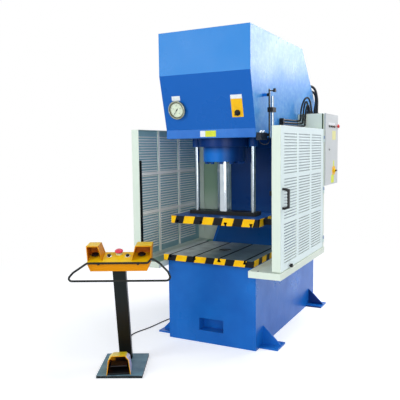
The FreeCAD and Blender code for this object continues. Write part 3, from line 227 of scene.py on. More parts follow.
lamp("side_lamp", (4.8, -1.6, 3.4), (0.4, -0.3, 1.3), 2.6, 22, (1.0, 0.99, 0.97))
lamp("front_lamp", (-3.0, -6.9, 3.4), (0, -0.4, 1.4), 3.2, 200, (0.9, 0.98, 1.0))
lamp("fill_lamp", (3.2, -6.2, 2.4), (-0.3, -0.4, 1.3), 3.0, 125)
lamp("top_lamp", (1.3, 0.9, 6.1), (0, -0.4, 1.0), 2.6, 170)
lamp("sheen_lamp", (2.7, 4.3, 4.1), (0.4, -0.4, 2.2), 2.3, 142, (0.94, 0.90, 1.0))

# %% [markdown]
# ## Effects that several finishes share
# Real paint is never one flat colour: it clouds a little, its surface has a fine orange peel, and it
# wears bright on its edges. Each such effect is a small node group with its own inputs, so that the
# blue enamel and the cream powder coat can use the same one with other values.

# %% Groups
def srgb(red, green, blue):
    """A colour as a painter reads it, 0 to 255, as the linear values that a shader takes."""
    parts = (red / 255, green / 255, blue / 255)
    return (*(c / 12.92 if c <= 0.04045 else ((c + 0.055) / 1.055) ** 2.4 for c in parts), 1.0)


def new_group(name, inputs, outputs):
    """An empty shader node group with named sockets, its input node and its output node."""
    group = bpy.data.node_groups.new(name, "ShaderNodeTree")
    kinds = {"colour": "NodeSocketColor", "value": "NodeSocketFloat", "vector": "NodeSocketVector"}
    for title, kind, value in inputs:
        group.interface.new_socket(name=title, in_out="INPUT", socket_type=kinds[kind]).default_value = value
    for title, kind in outputs:
        group.interface.new_socket(name=title, in_out="OUTPUT", socket_type=kinds[kind])
    return group, group.nodes.new("NodeGroupInput").outputs, group.nodes.new("NodeGroupOutput").inputs


def noise(tree, size, detail=3.0, roughness=0.55):
    """A noise value whose lumps are about size metres across; size is a number or a socket."""
    return add(tree, "ShaderNodeTexNoise", {
        "Vector": coords(tree), "Scale": math_node(tree, "DIVIDE", 1.0, size), "Detail": detail,
        "Roughness": roughness}).outputs[0]


def ramp(tree, value, low, high, to_low=0.0, to_high=1.0):
    return add(tree, "ShaderNodeMapRange", {
        "Value": value, "From Min": low, "From Max": high, "To Min": to_low, "To Max": to_high}).outputs[0]


def drawn_grain(tree, streak, size, detail):
    """A noise value that is stretched by streak, its scales along X, Y and Z."""
    drawn = add(tree, "ShaderNodeMapping", {"Vector": coords(tree), "Scale": streak}).outputs[0]
    return add(tree, "ShaderNodeTexNoise", {"Vector": drawn, "Scale": size, "Detail": detail}).outputs[0]


def mix_colour(tree, factor, first, second):
    return add(tree, "ShaderNodeMix", {0: factor, 6: first, 7: second}, data_type="RGBA").outputs[2]


def dot(tree, first, second):
    """How far one direction or place goes along another."""
    return add(tree, "ShaderNodeVectorMath", {0: first, 1: second}, operation="DOT_PRODUCT").outputs["Value"]


clouded, given, put = new_group("clouded_tone", [
    ("Colour", "colour", (0.5, 0.5, 0.5, 1)), ("Cloud Colour", "colour", (0.4, 0.4, 0.4, 1)),
    ("Cloud Size", "value", 0.4), ("Cloud Amount", "value", 0.5)], [("Colour", "colour"), ("Cloud", "value")])
broad = ramp(clouded, noise(clouded, given["Cloud Size"], 4.0), 0.35, 0.68)
clouded.links.new(broad, put["Cloud"])
clouded.links.new(mix_colour(clouded, both(clouded, broad, given["Cloud Amount"]), given["Colour"],
                             given["Cloud Colour"]), put["Colour"])

peel, given, put = new_group("orange_peel", [("Lump Size", "value", 0.004), ("Ripple Size", "value", 0.12)],
                             [("Height", "value")])
fine = noise(peel, given["Lump Size"], 2.0)
slow = noise(peel, given["Ripple Size"], 2.0)
peel.links.new(math_node(peel, "ADD", fine, both(peel, slow, 3.0)), put["Height"])

worn, given, put = new_group("worn_edges", [("Edge Radius", "value", 0.003), ("Patch Size", "value", 0.05)],
                             [("Wear", "value"), ("Soft Normal", "vector")])
soft = add(worn, "ShaderNodeBevel", {"Radius": given["Edge Radius"]}, samples=4).outputs[0]
edge = ramp(worn, dot(worn, soft, add(worn, "ShaderNodeNewGeometry").outputs["Normal"]), 0.99, 0.80)
patch = ramp(worn, noise(worn, given["Patch Size"], 4.0, 0.65), 0.42, 0.60)
worn.links.new(both(worn, edge, patch), put["Wear"])
worn.links.new(soft, put["Soft Normal"])
print("groups", [g.name for g in bpy.data.node_groups])

# %% [markdown]
# ## Paints
# The press wears a blue machine enamel, a cream powder coat on the guards, a grey-green one on the
# cabinet, an orange-yellow enamel on the pedestal and a satin black on small parts. All are one recipe:
# a clouded colour, edges that show the primer, a gloss that varies with the clouds, and a fine peel in
# the surface. An accent is another colour on one part of a coat; most accents are painted light and shade.

# %% Paint recipe
def place_on(tree, axis, socket="Object"):
    """The place on the object along X, Y or Z, in metres, or that part of its normal."""
    return add(tree, "ShaderNodeSeparateXYZ", {0: coords(tree, socket)}).outputs[axis]


def height_of(tree):
    return place_on(tree, "Z")


def reach_of(tree):
    """The distance from the machine's middle plane, in metres."""
    return math_node(tree, "ABSOLUTE", place_on(tree, "X"))


def along(tree, direction, socket="Object"):
    """How far the place on the object, or its normal, goes along a direction."""
    return dot(tree, coords(tree, socket), direction)


def within(tree, axis, low, high):
    """1 where a place on the object lies between two limits, in metres, along an axis."""
    spot = place_on(tree, axis)
    return both(tree, over(tree, spot, low), under(tree, spot, high))


def looking(tree, x, y, z, least=0.5):
    """1 on faces that look along a direction."""
    return over(tree, along(tree, (x, y, z), "Normal"), least)


def sideways(tree, sign):
    """1 on faces that look away from the machine's middle plane with sign 1, or to it with sign -1."""
    outward = both(tree, place_on(tree, "X"), place_on(tree, "X", "Normal"))
    return over(tree, both(tree, outward, sign), 0.2)


def grouped(tree, group, **wired):
    return add(tree, "ShaderNodeGroup", {key.replace("_", " "): value for key, value in wired.items()},
               node_tree=group).outputs


def surface(material, tree, out, height, depth, edges, wired):
    """Ends a material: a Principled surface with soft edges and a relief that is depth metres deep."""
    bump = add(tree, "ShaderNodeBump", {"Height": height, "Distance": depth, "Normal": edges["Soft Normal"]})
    shader = add(tree, "ShaderNodeBsdfPrincipled", {**wired, "Normal": bump.outputs[0]})
    tree.links.new(shader.outputs[0], out.inputs[0])
    return material


def paint(name, colour, cloud, worn_to, gloss=(0.26, 0.36), clouds=(0.45, 0.5), lump=0.004, depth=0.0004,
          radius=0.003, wear=0.5, specular=0.2, accents=()):
    """A coat of paint: colour and cloud are its two tones, worn_to shows on its edges, gloss is the
    roughness. Each accent is a mask and the colour painted there; most are painted light and shade."""
    material, tree, out = new_material(name)
    tone = grouped(tree, clouded, Colour=srgb(*colour), Cloud_Colour=srgb(*cloud), Cloud_Size=clouds[0],
                   Cloud_Amount=clouds[1])
    edges = grouped(tree, worn, Edge_Radius=radius, Patch_Size=0.06)
    shown = tone["Colour"]
    for mask, other in accents:
        shown = mix_colour(tree, mask(tree), shown, srgb(*other))
    shown = mix_colour(tree, both(tree, edges["Wear"], wear), shown, srgb(*worn_to))
    height = grouped(tree, peel, Lump_Size=lump, Ripple_Size=0.15)["Height"]
    return surface(material, tree, out, height, depth, edges, {
        "Base Color": shown, "Roughness": ramp(tree, tone["Cloud"], 0, 1, *gloss),
        "Specular IOR Level": specular})


blue_tone, blue_cloud, primer = (24, 112, 201), (6, 86, 174), (104, 158, 216)
neck_level, head_level, upper_front_level = 1.5, 2.0, 2.34
cover_facing = (0, -0.972, -0.234)
guard_sheet_reach = 0.6865


def head_side(tree):
    """1 on the right side of the head, where a paler blue is painted as the sheen of the light from behind.
    """
    return both(tree, looking(tree, 1, 0, 0), ramp(tree, height_of(tree), neck_level, head_level))


# Painted light and shade on the blue enamel: the head's right side gets a paler blue with mottled paler spots
# as painted sheen, on top of the real sheen from the lamp behind. The upper front gets a lighter blue as
# painted light, and the leaning cover, which faces down, a darker blue as painted shade.
blue_enamel = paint(
    "blue_enamel", blue_tone, blue_cloud, primer, lump=0.03, depth=0.0006, clouds=(0.4, 0.7), accents=[
        (head_side, (58, 142, 218)),
        (lambda t: both(t, head_side(t), ramp(t, noise(t, 0.045, 4.0, 0.7), 0.42, 0.66, 0, 0.45)),
         (128, 190, 232)),
        (lambda t: both(t, looking(t, 0, -1, 0, 0.99), over(t, height_of(t), upper_front_level)),
         (24, 128, 208)),
        (lambda t: looking(t, *cover_facing, 0.985), (12, 94, 180))])
# Painted shade: the feet's front faces get a darker blue that deepens towards the rear foot.
feet_enamel = paint("feet_blue_enamel", blue_tone, blue_cloud, primer, lump=0.03, accents=[
    (lambda t: both(t, looking(t, 0, -1, 0), ramp(t, place_on(t, "Y"), -0.4, 0.3)), (6, 48, 112))])
# Painted shade: the throat wall, the head's underside, the guide bushes and the gland bolts lie in the shade
# in and under the head, and this dark navy paints that shade. It turns lighter from 1.15 m down to 0.9 m.
navy_painted_shade = paint("navy_painted_shade", (12, 64, 132), (6, 46, 102), (60, 90, 140), specular=0.12,
                    accents=[(lambda t: ramp(t, height_of(t), 1.15, 0.9), (26, 90, 160))])
# The barrel is the frame's blue with painted shade: darker at its top under the head, and darker on its right
# side.
cylinder_enamel = paint("cylinder_enamel", blue_tone, blue_cloud, primer, specular=0.12, accents=[
    (lambda t: ramp(t, height_of(t), 1.67, 1.735), (4, 48, 112)),
    (lambda t: ramp(t, place_on(t, "X"), 0.02, 0.16), (6, 42, 96))])
cream, cream_cloud, cream_worn = (224, 234, 219), (214, 226, 212), (245, 248, 240)
cream_look = dict(gloss=(0.42, 0.5), lump=0.0025, wear=0.3)
# On the swing guards the inner sheet is painted grey-blue as painted shade, and the ribs' inward faces are
# painted white as painted light. The outer faces get a paler, cooler tone.
door_coat = paint("guard_door_coat", cream, cream_cloud, cream_worn, accents=[
    (lambda t: sideways(t, 1), (228, 243, 241)), (lambda t: sideways(t, -1), (255, 255, 250)),
    (lambda t: both(t, sideways(t, -1), over(t, reach_of(t), guard_sheet_reach)), (148, 186, 196))],
    **cream_look)
# Painted light: the louvre lips' inward faces are painted white.
lip_coat = paint("louvre_lip_coat", (220, 228, 230), (190, 206, 210), cream_worn, accents=[
    (lambda t: sideways(t, -1), (255, 255, 250))], **cream_look)
# Painted shade on the rear guards: a greener grey on their front faces from 0.95 m up, and a dark grey-green
# on their inward faces.
guard_coat = paint("rear_guard_coat", cream, cream_cloud, cream_worn, accents=[
    (lambda t: both(t, looking(t, 0, -1, 0), ramp(t, height_of(t), 0.95, 1.3)), (165, 197, 166)),
    (lambda t: sideways(t, -1), (82, 102, 84))], **cream_look)
# Painted shadow: the inner part of the left tray's top, out to 0.56 m from the middle, is a darker green.
tray_coat = paint("tray_coat", cream, cream_cloud, cream_worn, accents=[
    (lambda t: both(t, looking(t, 0, 0, 1), within(t, "X", -0.56, 0)), (128, 160, 146))], **cream_look)
sage_coat = paint("sage_powder_coat", (247, 255, 238), (238, 248, 228), (240, 246, 236),
                  **cream_look)
grey_coat = paint("pale_grey_powder_coat", (204, 209, 208), (196, 203, 200), (230, 234, 232),
                  **cream_look)

pedestal_turn, pedestal_foot, panel_centre = math.radians(26.3), Vector((-0.403, -1.622, 0)), -0.016
console_right = Vector((math.cos(pedestal_turn), math.sin(pedestal_turn), 0))
console_back = Vector((-math.sin(pedestal_turn), math.cos(pedestal_turn), 0))
console_middle = pedestal_foot + panel_centre * console_right
hood_inner_wall, hood_end, hood_bottom = 0.175, -0.08, 0.90


def inside_hoods(tree):
    """1 on the inner faces of the console's two hoods."""
    across = minus(tree, along(tree, console_right), console_middle.dot(console_right))
    outward = both(tree, across, along(tree, console_right, "Normal"))
    near_middle = under(tree, math_node(tree, "ABSOLUTE", across), hood_inner_wall)
    inner_side = both(tree, over(tree, outward, 0.03), near_middle)
    outer_side = under(tree, outward, -0.16)
    deep = over(tree, along(tree, console_back), console_middle.dot(console_back) + hood_end)
    end = both(tree, looking(tree, *-console_back), deep)
    roof = both(tree, looking(tree, 0, 0, -1), over(tree, height_of(tree), hood_bottom))
    return either(tree, either(tree, inner_side, outer_side), either(tree, end, roof))


# On the console, a brighter yellow on the upward faces is painted light, and a darker orange on the inner
# faces of the two hoods is painted shade.
yellow_enamel = paint(
    "orange_yellow_enamel", (228, 146, 2), (220, 134, 1), (255, 212, 60), gloss=(0.32, 0.42),
    specular=0.12, accents=[(lambda t: looking(t, 0, 0, 1), (252, 204, 14)), (inside_hoods, (200, 110, 6))])
foot_right, foot_middle = Vector((0.845, 0.534, 0)), Vector((-0.3140, -1.8156, 0))
foot_forward = Vector((foot_right.y, -foot_right.x, 0))
pedal_level, pedal_top_level, foot_wall = 0.082, 0.094, 0.06


def across_foot(tree):
    """The distance to the right of the foot switch's middle, along its own width, in metres."""
    return minus(tree, along(tree, foot_right), foot_middle.dot(foot_right))


def inner_wall(tree):
    """1 on the inner faces of the foot hood's two side walls."""
    return under(tree, both(tree, across_foot(tree), along(tree, foot_right, "Normal")), -0.02)


def foot_end(tree):
    """1 low on the inside of the hood's far wall, where the pedal keeps the light out."""
    behind_mouth = under(tree, along(tree, foot_forward), foot_middle.dot(foot_forward) - 0.02)
    low = both(tree, ramp(tree, height_of(tree), pedal_top_level, pedal_level),
               ramp(tree, across_foot(tree), -0.05, -0.03))
    return both(tree, both(tree, looking(tree, *foot_forward), behind_mouth), low)


# On the foot hood, a deeper orange on the inner side walls and a near black low on the far wall are painted
# shade, a brighter yellow on the upward faces is painted light, and a pale lavender on the right wall's outer
# face is a painted highlight.
foot_hood_enamel = paint(
    "foot_hood_enamel", (246, 176, 8), (240, 158, 4), (255, 214, 70), gloss=(0.32, 0.42), accents=[
        (inner_wall, (255, 132, 16)), (foot_end, (40, 22, 12)),
        (lambda t: looking(t, 0, 0, 1), (255, 222, 36)),
        (lambda t: both(t, looking(t, *foot_right), over(t, across_foot(t), foot_wall)), (224, 214, 244))])
slate_paint = paint(
    "slate_plate_paint", (102, 140, 156), (84, 118, 134), (176, 196, 204), gloss=(0.38, 0.55),
    clouds=(0.08, 0.7), radius=0.006, wear=1.0, accents=[
        (lambda t: minus(t, 1.0, looking(t, 0, 0, 1)), (26, 34, 38))])
black_tones = (24, 26, 29), (16, 16, 18), (96, 100, 104)
black_paint = paint("satin_black_paint", *black_tones, gloss=(0.28, 0.42), clouds=(0.1, 0.6), specular=0.15)
junction_paint = paint("junction_box_paint", (14, 20, 36), (10, 12, 22), (90, 104, 140),
                       specular=0.15)
post_paint = paint("post_black_paint", (20, 27, 27), (26, 17, 9), (110, 110, 106),
                   gloss=(0.3, 0.42), clouds=(0.3, 0.9), specular=0.15)
# The rail's right face is painted pale as a painted highlight. The arms towards the frame are the frame's
# blue.
rail_paint = paint("rail_paint", *black_tones, specular=0.15, accents=[
    (lambda t: within(t, "X", 0.0, 0.462), blue_tone),
    (lambda t: both(t, looking(t, 1, 0, 0), within(t, "X", 0.47, 0.60)), (206, 216, 224))])
hinge_paint = paint("hinge_grey_enamel", (150, 170, 196), (136, 156, 182), (196, 204, 212),
                    clouds=(0.05, 0.5))
ring_paint = paint("ring_black_enamel", (18, 24, 22), (12, 15, 14), (120, 130, 112),
                   gloss=(0.22, 0.3), specular=0.25)
sleeve_paint = paint("stop_sleeve_paint", (214, 224, 190), (200, 212, 176), (240, 244, 226))
print("paints ready")


def finish(material, names):
    """Gives the CAD nodes in a line of names a finish in place of the plain one that they came with."""
    for name in names.split():
        slots = nodes[name].data.materials
        if not slots:
            slots.append(material)
        for k in range(len(slots)):
            slots[k] = material


finish(blue_enamel, "right_side_plate left_side_plate base_front head_front_cover head_top_cover "
       "rear_panel power_unit")
finish(feet_enamel, "feet")
finish(navy_painted_shade, "throat_wall head_bottom_plate guide_bushes gland_bolts")
finish(cylinder_enamel, "cylinder_barrel")
finish(door_coat, "left_door right_door")
finish(guard_coat, "rear_guards")
finish(tray_coat, "side_trays")
finish(sage_coat, "cabinet_box")
finish(grey_coat, "cabinet_door")
finish(yellow_enamel, "console")
finish(slate_paint, "stand_plate")
finish(foot_hood_enamel, "foot_hood")
finish(black_paint, "tie_bar limit_arm limit_dog limit_switch left_latch_bar right_latch_bar guard_ring "
       "pedal_base gauge_needle")
finish(junction_paint, "head_junction_box")
finish(post_paint, "stand_post")
finish(rail_paint, "limit_rail")
finish(hinge_paint, "door_hinges")

# %% [markdown]
# ## Bare metal
# The ram is hard chrome, which is a mirror with only the faintest haze along its length. The guide rods
# and the limit rod are a little duller, and the lock and the bezels are plain bright metal.

# %% Metals
def metal(name, colour, cloud, gloss):
    """A bare metal with a fine upright grain: colour and cloud are its two tones, gloss is the roughness."""
    material, tree, out = new_material(name)
    tone = grouped(tree, clouded, Colour=srgb(*colour), Cloud_Colour=srgb(*cloud), Cloud_Size=0.05,
                   Cloud_Amount=0.6)
    grain = drawn_grain(tree, (60, 60, 4), 20.0, 4.0)
    edges = grouped(tree, worn, Edge_Radius=0.001, Patch_Size=0.03)
    return surface(material, tree, out, grain, 0.00005, edges, {
        "Base Color": tone["Colour"], "Metallic": 1.0, "Roughness": ramp(tree, grain, 0.3, 0.7, *gloss)})


hard_chrome = metal("hard_chrome", (196, 206, 214), (178, 190, 200), (0.07, 0.13))
rod_chrome = metal("rod_chrome", (168, 178, 186), (146, 158, 168), (0.12, 0.2))
plain_steel = metal("plain_steel", (168, 170, 172), (132, 130, 126), (0.28, 0.42))
pale_metal = metal("bezel_metal", (236, 238, 236), (216, 220, 218), (0.2, 0.3))
finish(hard_chrome, "ram")
finish(rod_chrome, "guide_rods limit_rod")
finish(plain_steel, "cabinet_lock")
print("metals ready")

# %% [markdown]
# ## Plastics and rubber
# Knobs, grips, glands and push buttons are moulded black plastic with a fine matt skin, and the two
# stop buttons are a glossy red one. The conduits and the cable have a softer, duller black.

# %% Plastics
def plastic(name, colour, cloud, gloss, skin=0.0012, depth=0.0001, coat=0.0):
    """A moulded or printed surface: colour is its tone, cloud is its second one or the share of the first
    that the second keeps, and gloss is the roughness."""
    material, tree, out = new_material(name)
    first = srgb(*colour)
    second = srgb(*cloud) if isinstance(cloud, tuple) else (*(c * cloud for c in first[:3]), 1)
    tone = grouped(tree, clouded, Colour=first, Cloud_Colour=second, Cloud_Size=0.03, Cloud_Amount=0.7)
    height = grouped(tree, peel, Lump_Size=skin, Ripple_Size=0.05)["Height"]
    edges = grouped(tree, worn, Edge_Radius=0.001, Patch_Size=0.02)
    rubbed = (*(min(1.0, 2.2 * c + 0.01) for c in first[:3]), 1)
    return surface(material, tree, out, height, depth, edges, {
        "Base Color": mix_colour(tree, both(tree, edges["Wear"], 0.4), tone["Colour"], rubbed),
        "Roughness": ramp(tree, tone["Cloud"], 0, 1, *gloss), "Coat Weight": coat,
        "Specular IOR Level": 0.25})


switch_middle = 0.7187
black_plastic = plastic("moulded_black_plastic", (24, 24, 26), (34, 34, 36), (0.38, 0.50))
stop_red = plastic("stop_button_red", (232, 62, 92), (218, 44, 70), (0.22, 0.30), coat=0.4)
cabinet_red = plastic("stop_knob_red", (214, 24, 28), (196, 16, 20), (0.22, 0.30), coat=0.4)
switch_two_tone = paint(
    "switch_yellow_and_black", (240, 204, 28), (228, 188, 20), (250, 224, 90), wear=0.2, accents=[
        (lambda t: over(t, place_on(t, "X"), switch_middle), (52, 16, 16))])
sheath = plastic("cable_sheath", (44, 45, 46), (56, 56, 56), (0.50, 0.62))
conduit_skin = plastic("conduit_skin", (18, 19, 22), (28, 29, 32), (0.35, 0.5))
finish(black_plastic, "selector_knob rail_knob right_handle left_star_knob right_star_knob conduits "
       "cable_glands left_palm_button right_palm_button left_start_button right_start_button foot_pedal")
finish(stop_red, "console_stop_button")
finish(cabinet_red, "cabinet_stop_button")
finish(switch_two_tone, "main_switch")
cable.data.materials.append(sheath)
print("plastics ready")

# %% [markdown]
# ## Warning bands and the table top
# The edges of table and platen carry yellow and black bands, slightly slanted and about 19 cm apart.
# They are painted, so they belong in the material: a group turns the place along the edge into a mask.
# The table's top stays bare, as ground and oiled steel, and so do its slots.

# %% Bands
band_slant = 0.32
bands, given, put = new_group("warning_bands", [
    ("Pitch", "value", 0.186), ("Yellow Width", "value", 0.104), ("Front Shift", "value", 0.0),
    ("Side Shift", "value", 0.0), ("Slant", "value", band_slant)], [("Yellow", "value"), ("Edge", "value")])
lean = both(bands, height_of(bands), given["Slant"])
wobble = both(bands, minus(bands, noise(bands, 0.02, 2.0), 0.5), 0.003)


def edge_bands(axis, shift, normal_axis):
    """The mask of the edge faces that run along an axis, and the mask of the yellow bands on them."""
    faces = over(bands, math_node(bands, "ABSOLUTE", place_on(bands, normal_axis, "Normal")), 0.5)
    start = math_node(bands, "ADD", minus(bands, minus(bands, place_on(bands, axis), shift), lean), wobble)
    positive = math_node(bands, "ADD", start, both(bands, given["Pitch"], 40.0))
    step = math_node(bands, "MODULO", positive, given["Pitch"])
    return faces, both(bands, under(bands, step, given["Yellow Width"]), faces)


to_front, front_part = edge_bands("X", given["Front Shift"], "Y")
to_side, side_part = edge_bands("Y", given["Side Shift"], "X")
bands.links.new(either(bands, front_part, side_part), put["Yellow"])
bands.links.new(either(bands, to_front, to_side), put["Edge"])


def banded(name, tops, pitch, metallic, front_start, side_start, half_width, front_line, back_line, middle):
    """A thick plate with painted warning bands on its outer edges, which start at two places at its middle
    height. Tops is its bare colour, and then masks and the colours of the bare parts there."""
    material, tree, out = new_material(name)
    edge_margin = 0.002
    mask = grouped(tree, bands, Pitch=pitch, Slant=band_slant, Front_Shift=front_start - band_slant * middle,
                   Side_Shift=side_start - band_slant * middle)
    outer_side = over(tree, reach_of(tree), half_width - edge_margin)
    outer_front = under(tree, place_on(tree, "Y"), front_line + edge_margin)
    outer_back = over(tree, place_on(tree, "Y"), back_line - edge_margin)
    painted = both(tree, mask["Edge"], either(tree, outer_side, either(tree, outer_front, outer_back)))
    unpainted = minus(tree, 1.0, painted)
    chipped = grouped(tree, worn, Edge_Radius=0.003, Patch_Size=0.02)
    bare = base = srgb(*tops[0])
    for part, colour in tops[1:]:
        bare = mix_colour(tree, part(tree), bare, srgb(*colour))
    tone = grouped(tree, clouded, Colour=bare, Cloud_Colour=base, Cloud_Size=0.10, Cloud_Amount=0.35)
    lines = drawn_grain(tree, (90, 3, 90), 12.0, 5.0)
    bare = mix_colour(tree, ramp(tree, lines, 0.3, 0.7, 0.0, 0.3), tone["Colour"], base)
    yellow = mix_colour(tree, ramp(tree, noise(tree, 0.05), 0.4, 0.6), srgb(255, 202, 10), srgb(250, 188, 4))
    band_colour = mix_colour(tree, mask["Yellow"], srgb(16, 17, 20), yellow)
    scuffed = mix_colour(tree, both(tree, chipped["Wear"], 0.45), band_colour, srgb(120, 122, 124))
    rough = math_node(tree, "ADD", both(tree, painted, 0.42),
                      both(tree, unpainted, ramp(tree, lines, 0.3, 0.7, 0.30, 0.48)))
    return surface(material, tree, out, lines, 0.00015, chipped, {
        "Base Color": mix_colour(tree, painted, bare, scuffed), "Roughness": rough,
        "Metallic": both(tree, unpainted, metallic), "Specular IOR Level": 0.15})


hole_middle, recess_radius = (0, -0.560, 0.777), 0.0575
table_top, table_slots, platen_top = 0.786, 0.70, 1.115


def upper_face(tree, level):
    return both(tree, looking(tree, 0, 0, 1), over(tree, height_of(tree), level))


def recess_floor(tree):
    """1 inside the round recess round the table's centre hole."""
    apart = add(tree, "ShaderNodeVectorMath", {0: coords(tree), 1: hole_middle}, operation="DISTANCE")
    return under(tree, apart.outputs["Value"], recess_radius)


# Painted sheen: the table's top turns much lighter towards the left.
table_finish = banded(
    "banded_table_steel",
    [(30, 34, 36), (lambda t: upper_face(t, table_top), (128, 148, 152)),
     (lambda t: both(t, upper_face(t, table_top), ramp(t, place_on(t, "X"), 0.05, -0.26)), (250, 255, 250)),
     (lambda t: both(t, upper_face(t, table_slots), recess_floor(t)), (206, 214, 216))],
    pitch=0.186, metallic=0.3, front_start=-0.299, side_start=-0.908, half_width=0.425, front_line=-0.945,
    back_line=-0.175, middle=0.76)
platen_finish = banded(
    "banded_platen_paint", [(26, 28, 32), (lambda t: upper_face(t, platen_top), (30, 92, 172))],
    pitch=0.190, metallic=0.0, front_start=-0.292, side_start=-0.771, half_width=0.421, front_line=-0.810,
    back_line=-0.310, middle=1.083)
finish(table_finish, "table")
finish(platen_finish, "platen")
print("bands painted")

# %% [markdown]
# ## Gauge
# The pressure gauge sits on the leaning cover. Its case is a polished ring, its dial is white with
# black marks and numbers, and a clear pane closes it. The dial is thin print, so it is made here, as
# flat marks a fraction of a millimetre over the dial's floor.

# %% Gauge
head_front = -0.859
cover_lean = math.atan(111 / 461)
cover_out = Vector((0, -math.cos(cover_lean), -math.sin(cover_lean)))
cover_up = Vector((0, -math.sin(cover_lean), math.cos(cover_lean)))
cover_foot = Vector((0, head_front, 1.880))


def on_cover(x, up):
    """The matrix of a place on the leaning cover: local X across, Y up along it and Z straight out."""
    turned = Matrix((Vector((1, 0, 0)), cover_up, cover_out)).transposed().to_4x4()
    return Matrix.Translation(cover_foot + Vector((x, 0, 0)) + cover_up * up) @ turned


def shape(name, build, material, body, matrix=Matrix.Identity(4), smooth=40):
    """A piece that build fills, in millimetres, in the matrix's own directions."""
    mesh = bpy.data.meshes.new(name)
    work = bmesh.new()
    build(work)
    bmesh.ops.transform(work, matrix=matrix @ Matrix.Scale(0.001, 4), verts=work.verts)
    bmesh.ops.recalc_face_normals(work, faces=work.faces)
    for line in work.edges:
        line.smooth = not line.is_manifold or line.calc_face_angle(0) < math.radians(smooth)
    for face in work.faces:
        face.smooth = True
    work.to_mesh(mesh)
    work.free()
    piece = new_object(name, mesh)
    mesh.materials.append(material)
    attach(piece, body)
    return piece


def lathe(work, outline, sides=48):
    """Turns an outline of (radius, height) round the local Z axis; a closed outline makes a ring."""
    rings, turns = [], [2 * math.pi * k / sides for k in range(sides)]
    for radius, height in outline:
        if radius < 1e-6:
            rings.append([work.verts.new((0, 0, height))] * sides)
        else:
            rings.append([work.verts.new((radius * math.cos(a), radius * math.sin(a), height))
                          for a in turns])
    for low, high in zip(rings, rings[1:]):
        for k in range(sides):
            corners = [low[k - 1], low[k], high[k], high[k - 1]]
            corners = [c for n, c in enumerate(corners) if c not in corners[:n]]
            if len(corners) > 2:
                work.faces.new(corners)


def slab(work, x0, x1, y0, y1, z0, z1, round_by=3.0, steps=4, soften=0.0):
    """A plate with rounded corners between two heights."""
    outline = []
    for cx, cy, start in ((x1 - round_by, y1 - round_by, 0), (x0 + round_by, y1 - round_by, 90),
                          (x0 + round_by, y0 + round_by, 180), (x1 - round_by, y0 + round_by, 270)):
        for k in range(steps + 1):
            angle = math.radians(start + 90 * k / steps)
            outline.append((cx + round_by * math.cos(angle), cy + round_by * math.sin(angle)))
    low = [work.verts.new((x, y, z0)) for x, y in outline]
    high = [work.verts.new((x, y, z1)) for x, y in outline]
    work.faces.new(low[::-1])
    top = work.faces.new(high)
    for k in range(len(outline)):
        work.faces.new((low[k - 1], low[k], high[k], high[k - 1]))
    if soften:
        bmesh.ops.bevel(work, geom=list(top.edges), offset=soften, segments=2, affect="EDGES")


def print_ink(name, colour, gloss=0.6):
    """Print or a thin label: a colour that clouds only faintly."""
    return plastic(name, colour, 0.86, (gloss - 0.06, gloss + 0.06), skin=0.002, depth=0.00002)


def lettering(name, words, height, material, body, matrix):
    """Numbers printed on a face, centred on the matrix's place; height in millimetres."""
    data = bpy.data.curves.new(name, "FONT")
    data.body, data.size, data.align_x, data.align_y = words, height / 700, "CENTER", "CENTER"
    data.materials.append(material)
    piece = new_object(name, data)
    piece.matrix_world = matrix
    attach(piece, body)


ink = print_ink("dial_ink", (26, 26, 28))
dial_paper = print_ink("dial_paper", (240, 246, 226))
olive_ring = print_ink("dial_surround", (92, 94, 66), 0.4)
gauge_ring_metal = metal("polished_case_ring", (176, 182, 164), (128, 134, 116), (0.2, 0.3))
gauge_seat = on_cover(-0.280, 0.180)
dial_floor, dial_edge, well_edge, dial_zero, dial_sweep = 24.0, 60.0, 70.8, 230.0, 280.0
paper_foot, paper_top, print_level, surround_top = (dial_floor + lift for lift in (0.2, 0.7, 0.9, 6.5))
number_radius, number_height, mark_count = 37.0, 9.5, 40


def dial_marks(work):
    for k in range(mark_count + 1):
        angle = math.radians(dial_zero - dial_sweep * k / mark_count)
        inner, half = (dial_edge - 13, 1.1) if k % 10 == 0 else (dial_edge - 8, 0.5)
        out = Vector((math.cos(angle), math.sin(angle), 0))
        side, lift = Vector((-out.y, out.x, 0)), Vector((0, 0, print_level))
        corners = (inner, -half), (dial_edge - 2, -half), (dial_edge - 2, half), (inner, half)
        work.faces.new([work.verts.new(out * r + side * s + lift) for r, s in corners])


finish(gauge_ring_metal, "gauge_case")
dial_disc = [(0, paper_foot), (dial_edge, paper_foot), (dial_edge, paper_top), (0, paper_top)]
surround = [(dial_edge, paper_foot), (well_edge, paper_foot), (well_edge, surround_top),
            (dial_edge, dial_floor + 1.2), (dial_edge, paper_foot)]
shape("gauge_dial", lambda w: lathe(w, dial_disc), dial_paper, "frame", gauge_seat)
shape("gauge_surround", lambda w: lathe(w, surround), olive_ring, "frame", gauge_seat)
shape("gauge_marks", dial_marks, ink, "frame", gauge_seat)
for k, number in enumerate(("0", "10", "20", "30", "40")):
    angle = math.radians(dial_zero - dial_sweep * k / 4)
    spot = Vector((math.cos(angle) * number_radius, math.sin(angle) * number_radius, print_level)) / 1000
    lettering("gauge_number_" + number, number, number_height, ink, "frame",
              gauge_seat @ Matrix.Translation(spot))
print("gauge dial across", round(2 * dial_edge), "mm")

# %% [markdown]
# The glass is a thin clear pane. It is kept almost without reflection, because a shop gauge is read
# at an angle and its pane is only seen as a faint sheen near the rim.

